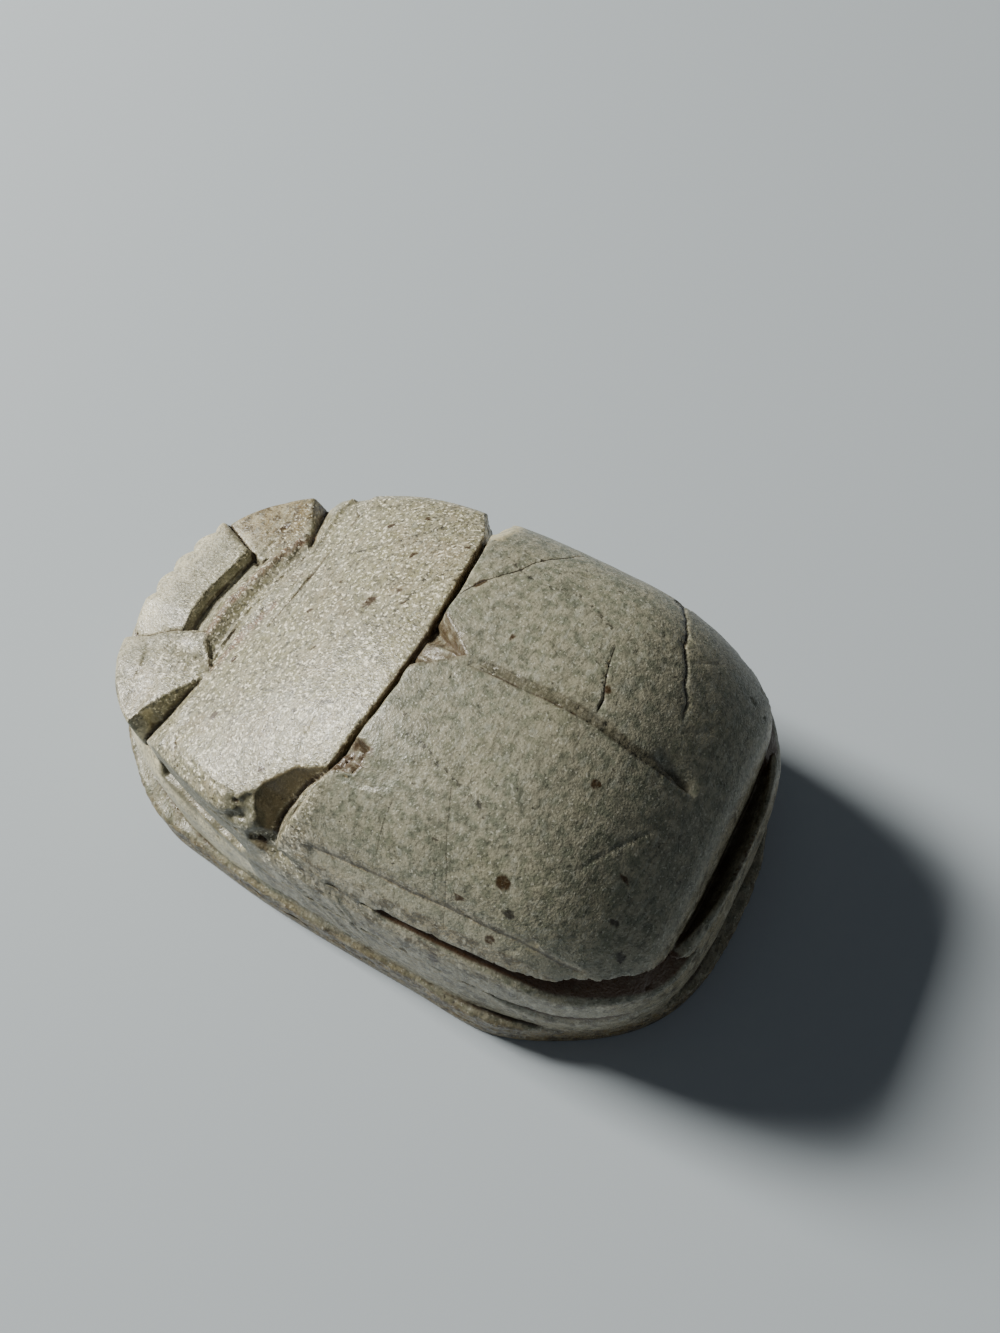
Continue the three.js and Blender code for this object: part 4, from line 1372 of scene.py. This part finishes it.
@dataclass(frozen=True)
class Steatite:
    """Steatite, a soft talc stone, carved, rubbed smooth and aged.

    Cut faces are matt and pale, partly as painted light, with a fine sparkle of talc flakes, partly
    painted glints; the rubbed back is greyer, fibrous and a little silky; hollows hold brown earth
    and painted shade.
    """

    rubbed: str = "69705F"
    layers: tuple[Layer, ...] = (
        # the front is paler and warmer than the rubbed back: partly the cut faces' own tone, partly
        # painted light where the light from the head's side falls
        Layer("86835F", 1.0, "bright"),
        Layer("9C8B62", 0.85, "side"),
        # the foreleg's pale cream is partly its own tone and partly painted light, pushed near
        # white
        Layer("F2EAC6", 1.0, "foreleg"),
        # soft clouds in the stone: grey-green, buff, and faint rose at the front
        Layer("5A5D51", 0.5, grain_mm=2.4, sparse=0.42, dense=0.68),
        Layer("8C8A6C", 0.35, grain_mm=1.6, sparse=0.46, dense=0.7),
        Layer("A58A74", 0.35, "bright", grain_mm=1.3, sparse=0.48, dense=0.72),
        Layer("6F6C56", 0.6, "bright", grain_mm=0.36, sparse=0.44, dense=0.64),
        # paler on ridges and lips: partly rubbed wear, partly a painted highlight on edges
        Layer("C3BCA4", 0.5, "worn", grain_mm=0.25, sparse=0.34, dense=0.62, least=0.25),
        Layer("54492F", 0.8, "side", grain_mm=0.4, sparse=0.48, dense=0.62),
        Layer("D6D0B8", 0.6, "side", grain_mm=0.2, sparse=0.52, dense=0.64,
              stretch=(1.0, 1.0, 0.35)),
        Layer("7C6738", 0.9, "ochre", grain_mm=0.45, sparse=0.35, dense=0.62, least=0.65),
        Layer("44321A", 0.85, "ochre", grain_mm=0.25, sparse=0.48, dense=0.6),
        Layer("7B5743", 0.75, "rose", 0.2, 0.05, grain_mm=0.3, sparse=0.36, dense=0.6,
              least=0.4),
        # rubbing has left fine fibres, dark and pale, across the back
        Layer("43453B", 0.4, grain_mm=0.12, sparse=0.47, dense=0.65, stretch=(1.0, 0.3, 1.0)),
        Layer("B9BBAC", 0.4, grain_mm=0.15, sparse=0.54, dense=0.7, stretch=(1.0, 0.35, 1.0)),
        # grains of talc, light and dark, drawn coarse enough to show; the near-white ones on the
        # front are partly painted glints of the flakes
        Layer("35362D", 0.4, grain_mm=0.08, sparse=0.54, dense=0.64),
        Layer("DCDCCA", 0.5, grain_mm=0.08, sparse=0.6, dense=0.69),
        Layer("45443A", 0.75, "bright", grain_mm=0.1, sparse=0.55, dense=0.64),
        Layer("FFF9E0", 0.9, "bright", grain_mm=0.1, sparse=0.56, dense=0.65),
        Layer("A5A38F", 0.65, "hatch", grain_mm=0.12, sparse=0.42, dense=0.6, least=0.15,
              stretch=(1.0, 0.3, 0.3)),
        Layer("4C4632", 0.65, "suture", grain_mm=0.35, sparse=0.3, dense=0.6, least=0.7),
        Layer("CFC49C", 0.8, "broken", grain_mm=0.35, sparse=0.35, dense=0.6, least=0.3),
        # breaks: the smooth scoop, its floor painted brown as shade, the crumbled patch and the
        # shaded flanks
        Layer("6E644B", 0.9, "chip"),
        Layer("4E3B25", 0.9, "patch", grain_mm=0.2, sparse=0.36, dense=0.58, least=0.35),
        Layer("5B5A47", 0.85, "flank", grain_mm=0.4, sparse=0.3, dense=0.6, least=0.6),
        # earth held in hollows, cuts and slits; the layer on closed darkens every hollow by how
        # enclosed it is, partly earth and partly painted shade
        Layer("4B3C28", 0.9, "closed", 0.32, 0.8, grain_mm=0.5, sparse=0.25, dense=0.65,
              least=0.6),
        Layer("4E3319", 0.95, "slit", 0.1, 0.7, grain_mm=0.4, sparse=0.2, dense=0.5, least=0.75),
        Layer("3A3023", 0.65, "pit", 0.25, 0.8),
        # dotted veins, pepper, inclusions and the lines of the cracks
        Layer("2E2C25", 0.8, "vein", 0.1, 0.03, grain_mm=0.15, sparse=0.48, dense=0.56),
        Layer("332D24", 0.75, grain_mm=0.2, sparse=0.68, dense=0.74),
        Layer("2E2A22", 0.9, "dark", 0.3, 0.75, grain_mm=0.12, sparse=0.25, dense=0.5,
              least=0.5),
        Layer("3C290D", 0.95, "rust", 0.35, 0.75, grain_mm=0.12, sparse=0.25, dense=0.5,
              least=0.6),
        Layer("241E16", 1.0, "crack", 0.026, 0.008, folded=True, held="crack_held"),
    )
    flake_mm: float = 0.065
    fibre_mm: float = 0.22
    bump_mm: float = 0.03
    ior: float = 1.54

    def material(self) -> bpy.types.Material:
        """Builds the finish."""
        made = bpy.data.materials.new("Carved steatite")
        made.use_nodes = True
        tree = made.node_tree
        tree.nodes.clear()
        place = add_node(tree, "ShaderNodeTexCoord").outputs["Object"]
        colour = linear(self.rubbed)
        for number, layer in enumerate(self.layers):
            cover = layer.strength
            if layer.mask:
                seen = add_node(tree, "ShaderNodeAttribute",
                                attribute_name=layer.mask).outputs["Fac"]
                if layer.folded:
                    seen = add_node(tree, "ShaderNodeMath", {0: seen},
                                    operation="ABSOLUTE").outputs[0]
                cover = add_node(
                    tree, "ShaderNodeMapRange",
                    {0: seen, 1: layer.start, 2: layer.whole, 3: 0.0, 4: layer.strength},
                    interpolation_type="SMOOTHSTEP").outputs[0]
            if layer.held:
                second = add_node(tree, "ShaderNodeAttribute",
                                  attribute_name=layer.held).outputs["Fac"]
                cover = add_node(tree, "ShaderNodeMath", {0: cover, 1: second},
                                 operation="MULTIPLY").outputs[0]
            if layer.grain_mm:
                scale = tuple(axis / (layer.grain_mm * MM) for axis in layer.stretch)
                spot = add_node(tree, "ShaderNodeMapping",
                                {"Vector": place, "Location": (7.3 * number, 3.1, 5.7),
                                 "Scale": scale}).outputs[0]
                cloud = add_node(tree, "ShaderNodeTexNoise",
                                 {"Vector": spot, "Scale": 1.0, "Detail": 2.5,
                                  "Roughness": 0.55}).outputs["Fac"]
                share = add_node(
                    tree, "ShaderNodeMapRange",
                    {0: cloud, 1: layer.sparse, 2: layer.dense, 3: layer.least, 4: 1.0},
                    interpolation_type="SMOOTHSTEP").outputs[0]
                cover = add_node(tree, "ShaderNodeMath", {0: cover, 1: share},
                                 operation="MULTIPLY").outputs[0]
            colour = add_node(tree, "ShaderNodeMix",
                              {0: cover, 6: colour, 7: linear(layer.colour)},
                              data_type="RGBA").outputs[2]

        flake = add_node(tree, "ShaderNodeTexNoise",
                         {"Vector": place, "Scale": 1 / (self.flake_mm * MM),
                          "Detail": 2.0}).outputs["Fac"]
        fibre = add_node(tree, "ShaderNodeTexNoise",
                         {"Vector": place, "Scale": 1 / (self.fibre_mm * MM),
                          "Detail": 3.0}).outputs["Fac"]
        uneven = add_node(tree, "ShaderNodeBump",
                          {"Height": fibre, "Strength": 0.2,
                           "Distance": self.bump_mm * MM}).outputs[0]
        grainy = add_node(tree, "ShaderNodeBump",
                          {"Height": flake, "Strength": 0.6,
                           "Distance": self.bump_mm * MM, "Normal": uneven}).outputs[0]
        sheen = add_node(tree, "ShaderNodeMapRange",
                         {0: flake, 1: 0.42, 2: 0.66, 3: 0.48, 4: 0.24}).outputs[0]
        shader = add_node(
            tree, "ShaderNodeBsdfPrincipled",
            {"Base Color": colour, "Roughness": sheen, "Normal": grainy, "IOR": self.ior})
        add_node(tree, "ShaderNodeOutputMaterial", {0: shader.outputs[0]})
        return made


@dataclass(frozen=True)
class WornSkin:
    """Small pits scattered over the stone and a fine unevenness between them."""

    pits_per_mm2: float = 0.55
    pit_radius: float = 0.1
    pit_depth: float = 0.05
    uneven: float = 0.008
    uneven_size: float = 0.22
    flat_below: float = 0.3  # the underside and its edge stay as they are
    seed: int = 7

    def tree(self) -> bpy.types.GeometryNodeTree:
        """Builds the node tree: scatter, distance, displacement, material."""
        tree = bpy.data.node_groups.new("Worn skin", "GeometryNodeTree")
        face = tree.interface
        face.new_socket("Geometry", in_out="INPUT", socket_type="NodeSocketGeometry")
        for name in ("Pits per square metre", "Pit radius", "Pit depth", "Unevenness",
                     "Unevenness size"):
            face.new_socket(name, in_out="INPUT", socket_type="NodeSocketFloat")
        face.new_socket("Seed", in_out="INPUT", socket_type="NodeSocketInt")
        face.new_socket("Finish", in_out="INPUT", socket_type="NodeSocketMaterial")
        face.new_socket("Geometry", in_out="OUTPUT", socket_type="NodeSocketGeometry")
        source = add_node(tree, "NodeGroupInput").outputs

        scatter = add_node(
            tree, "GeometryNodeDistributePointsOnFaces",
            {"Mesh": source["Geometry"], "Density": source["Pits per square metre"],
             "Seed": source["Seed"]})
        near = add_node(tree, "GeometryNodeProximity", {0: scatter.outputs["Points"]},
                        target_element="POINTS")
        inward = add_node(
            tree, "ShaderNodeMapRange",
            {0: near.outputs["Distance"], 1: source["Pit radius"], 2: 0.0, 3: 0.0, 4: 1.0},
            interpolation_type="SMOOTHSTEP").outputs[0]
        finer = add_node(tree, "ShaderNodeMath", {0: 1.0, 1: source["Unevenness size"]},
                         operation="DIVIDE").outputs[0]
        bumps = add_node(tree, "ShaderNodeTexNoise", {"Scale": finer, "Detail": 2.0})
        centred = add_node(tree, "ShaderNodeMath", {0: bumps.outputs["Fac"], 1: 0.5},
                           operation="SUBTRACT").outputs[0]
        swell = add_node(tree, "ShaderNodeMath", {0: centred, 1: source["Unevenness"]},
                         operation="MULTIPLY").outputs[0]
        taken = add_node(tree, "ShaderNodeMath", {0: inward, 1: source["Pit depth"]},
                         operation="MULTIPLY").outputs[0]
        depth = add_node(tree, "ShaderNodeMath", {0: swell, 1: taken},
                         operation="SUBTRACT").outputs[0]
        above = add_node(tree, "GeometryNodeInputPosition").outputs[0]
        height = add_node(tree, "ShaderNodeSeparateXYZ", {0: above}).outputs["Z"]
        lifted = add_node(tree, "ShaderNodeMath", {0: height, 1: self.flat_below * MM},
                          operation="GREATER_THAN").outputs[0]
        kept = add_node(tree, "ShaderNodeMath", {0: depth, 1: lifted},
                        operation="MULTIPLY").outputs[0]
        normal = add_node(tree, "GeometryNodeInputNormal").outputs[0]
        shift = add_node(tree, "ShaderNodeVectorMath", {0: normal, "Scale": kept},
                         operation="SCALE").outputs[0]
        moved = add_node(tree, "GeometryNodeSetPosition",
                         {"Geometry": source["Geometry"], "Offset": shift})
        stored = add_node(
            tree, "GeometryNodeStoreNamedAttribute",
            {"Geometry": moved.outputs[0], "Name": "pit", "Value": inward},
            data_type="FLOAT", domain="POINT")
        real = add_node(tree, "GeometryNodeRealizeInstances", {0: stored.outputs[0]})
        dressed = add_node(tree, "GeometryNodeSetMaterial",
                           {"Geometry": real.outputs[0], "Material": source["Finish"]})
        add_node(tree, "NodeGroupOutput", {0: dressed.outputs[0]})
        return tree

    def apply(self, piece: bpy.types.Object, finish: bpy.types.Material) -> None:
        """Runs the tree on a piece and keeps the result as its plain mesh."""
        tree = self.tree()
        modifier = piece.modifiers.new("Worn skin", "NODES")
        modifier.node_group = tree
        values = {
            "Pits per square metre": self.pits_per_mm2 / MM**2, "Pit radius": self.pit_radius * MM,
            "Pit depth": self.pit_depth * MM, "Unevenness": self.uneven * MM,
            "Unevenness size": self.uneven_size * MM, "Seed": self.seed, "Finish": finish,
        }
        for item in tree.interface.items_tree:
            if item.item_type == "SOCKET" and item.in_out == "INPUT" and item.name in values:
                modifier[item.identifier] = values[item.name]
        keep_evaluated(piece)


def keep_evaluated(piece: bpy.types.Object) -> None:
    """Turns a piece's modifiers into plain mesh."""
    graph = bpy.context.evaluated_depsgraph_get()
    mesh = bpy.data.meshes.new_from_object(piece.evaluated_get(graph), depsgraph=graph)
    piece.modifiers.clear()
    old = piece.data
    piece.data = mesh
    bpy.data.meshes.remove(old)


@dataclass
class Amulet:
    """The scarab as a Blender piece."""

    stone: Scarab
    triangles: int = 192_000
    quick_step: float = 0.13

    def mesh_piece(self) -> bpy.types.Object:
        """Meshes the stone and thins it where it is flat."""
        skin = Skin(self.stone, self.stone.mesh_step)
        points, faces = skin.net()
        points = skin.settled(points)
        points[:, 2] = np.maximum(points[:, 2], 0)
        mesh = bpy.data.meshes.new("carved_scarab")
        mesh.from_pydata(points * MM, [], faces)
        piece = bpy.data.objects.new("carved_scarab", mesh)
        bpy.context.scene.collection.objects.link(piece)
        count = 2 * len(faces)
        if count > self.triangles:
            thin = piece.modifiers.new("Thin", "DECIMATE")
            thin.ratio = self.triangles / count
            keep_evaluated(piece)
        log.info("stone: %d grid faces, %d faces kept", len(faces), len(piece.data.polygons))
        return piece

    def dress(self, piece: bpy.types.Object) -> None:
        """Writes the masks, scatters the pits and gives the finish."""
        mesh = piece.data
        flat = np.zeros(len(mesh.vertices) * 3)
        mesh.vertices.foreach_get("co", flat)
        places = flat.reshape(-1, 3) / MM
        for name, values in self.stone.masks(Points(*places.T)).items():
            layer = mesh.attributes.new(name, "FLOAT", "POINT")
            layer.data.foreach_set("value", np.ascontiguousarray(values, np.float32))
        mesh.shade_smooth()
        WornSkin().apply(piece, Steatite().material())

    def build(self) -> bpy.types.Object:
        """Makes the piece and gives it its place in the frame."""
        piece = self.mesh_piece()
        self.dress(piece)
        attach(piece, "root")
        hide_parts("scarab")
        return piece


@dataclass(frozen=True)
class Studio:
    """Pale floor, soft light from the head's side, and the camera above the left wing case."""

    floor_colour: str = "B9C3CB"
    camera_at: tuple[float, float, float] = (7.743, -9.729, 29.855)
    look_down: float = 1.0772
    heading: float = 0.5205
    roll: float = 0.011
    lens: float = 27.4
    sensor: float = 36.0
    floor_half: float = 0.6  # metres
    lamp_distance: float = 0.3  # metres
    room: float = 0.055  # strength of the light from all round

    def floor(self) -> None:
        """A wide plain floor at the underside's height."""
        mesh = bpy.data.meshes.new("floor")
        half = self.floor_half
        mesh.from_pydata([(-half, -half, 0), (half, -half, 0), (half, half, 0), (-half, half, 0)],
                         [], [(0, 1, 2, 3)])
        floor = bpy.data.objects.new("floor", mesh)
        bpy.context.scene.collection.objects.link(floor)
        paint = bpy.data.materials.new("Matt white card")
        paint.use_nodes = True
        tree = paint.node_tree
        tree.nodes.clear()
        shader = add_node(tree, "ShaderNodeBsdfPrincipled",
                          {"Base Color": linear(self.floor_colour), "Roughness": 0.8})
        add_node(tree, "ShaderNodeOutputMaterial", {0: shader.outputs[0]})
        mesh.materials.append(paint)

    def light(self, name: str, aim: tuple[float, float, float], size: float, power: float,
              colour: str) -> None:
        """A square soft light that looks at the amulet from a direction."""
        data = bpy.data.lights.new(name, "AREA")
        data.shape = "SQUARE"
        data.size = size
        data.energy = power
        data.color = linear(colour)[:3]
        lamp = bpy.data.objects.new(name, data)
        towards = Vector(aim).normalized()
        lamp.location = towards * self.lamp_distance
        lamp.rotation_euler = towards.to_track_quat("Z", "Y").to_euler()
        bpy.context.scene.collection.objects.link(lamp)

    def lights(self) -> None:
        """A key from the head's side, a broad fill from above and a pale room."""
        self.light("key", (-0.79, -0.03, 0.6), 0.07, 1.65, "FFFBF2")
        self.light("fill", (0.1, -0.2, 0.95), 0.3, 0.035, "EEF3FF")
        world = bpy.data.worlds.new("Pale room")
        world.use_nodes = True
        background = world.node_tree.nodes["Background"].inputs
        background["Color"].default_value = linear("E6ECF2")
        background["Strength"].default_value = self.room
        bpy.context.scene.world = world

    def camera(self) -> None:
        """The camera, close above the left wing case and aimed at the pronotum."""
        data = bpy.data.cameras.new("camera")
        data.lens = self.lens
        data.sensor_width = self.sensor
        data.clip_start = 1 * MM
        data.clip_end = 3
        camera = bpy.data.objects.new("camera", data)
        turn = Matrix.Rotation(self.heading, 4, "Z") @ Matrix.Rotation(
            math.pi / 2 - self.look_down, 4, "X") @ Matrix.Rotation(-self.roll, 4, "Z")
        camera.matrix_world = Matrix.Translation(Vector(self.camera_at) * MM) @ turn
        bpy.context.scene.collection.objects.link(camera)
        bpy.context.scene.camera = camera


def main() -> None:
    """Builds the amulet, then the studio."""
    piece = Amulet(Scarab()).build()
    log.info("carved_scarab: %d faces", len(piece.data.polygons))
    studio = Studio()
    studio.floor()
    studio.lights()
    studio.camera()


if __name__ == "__main__":
    main()
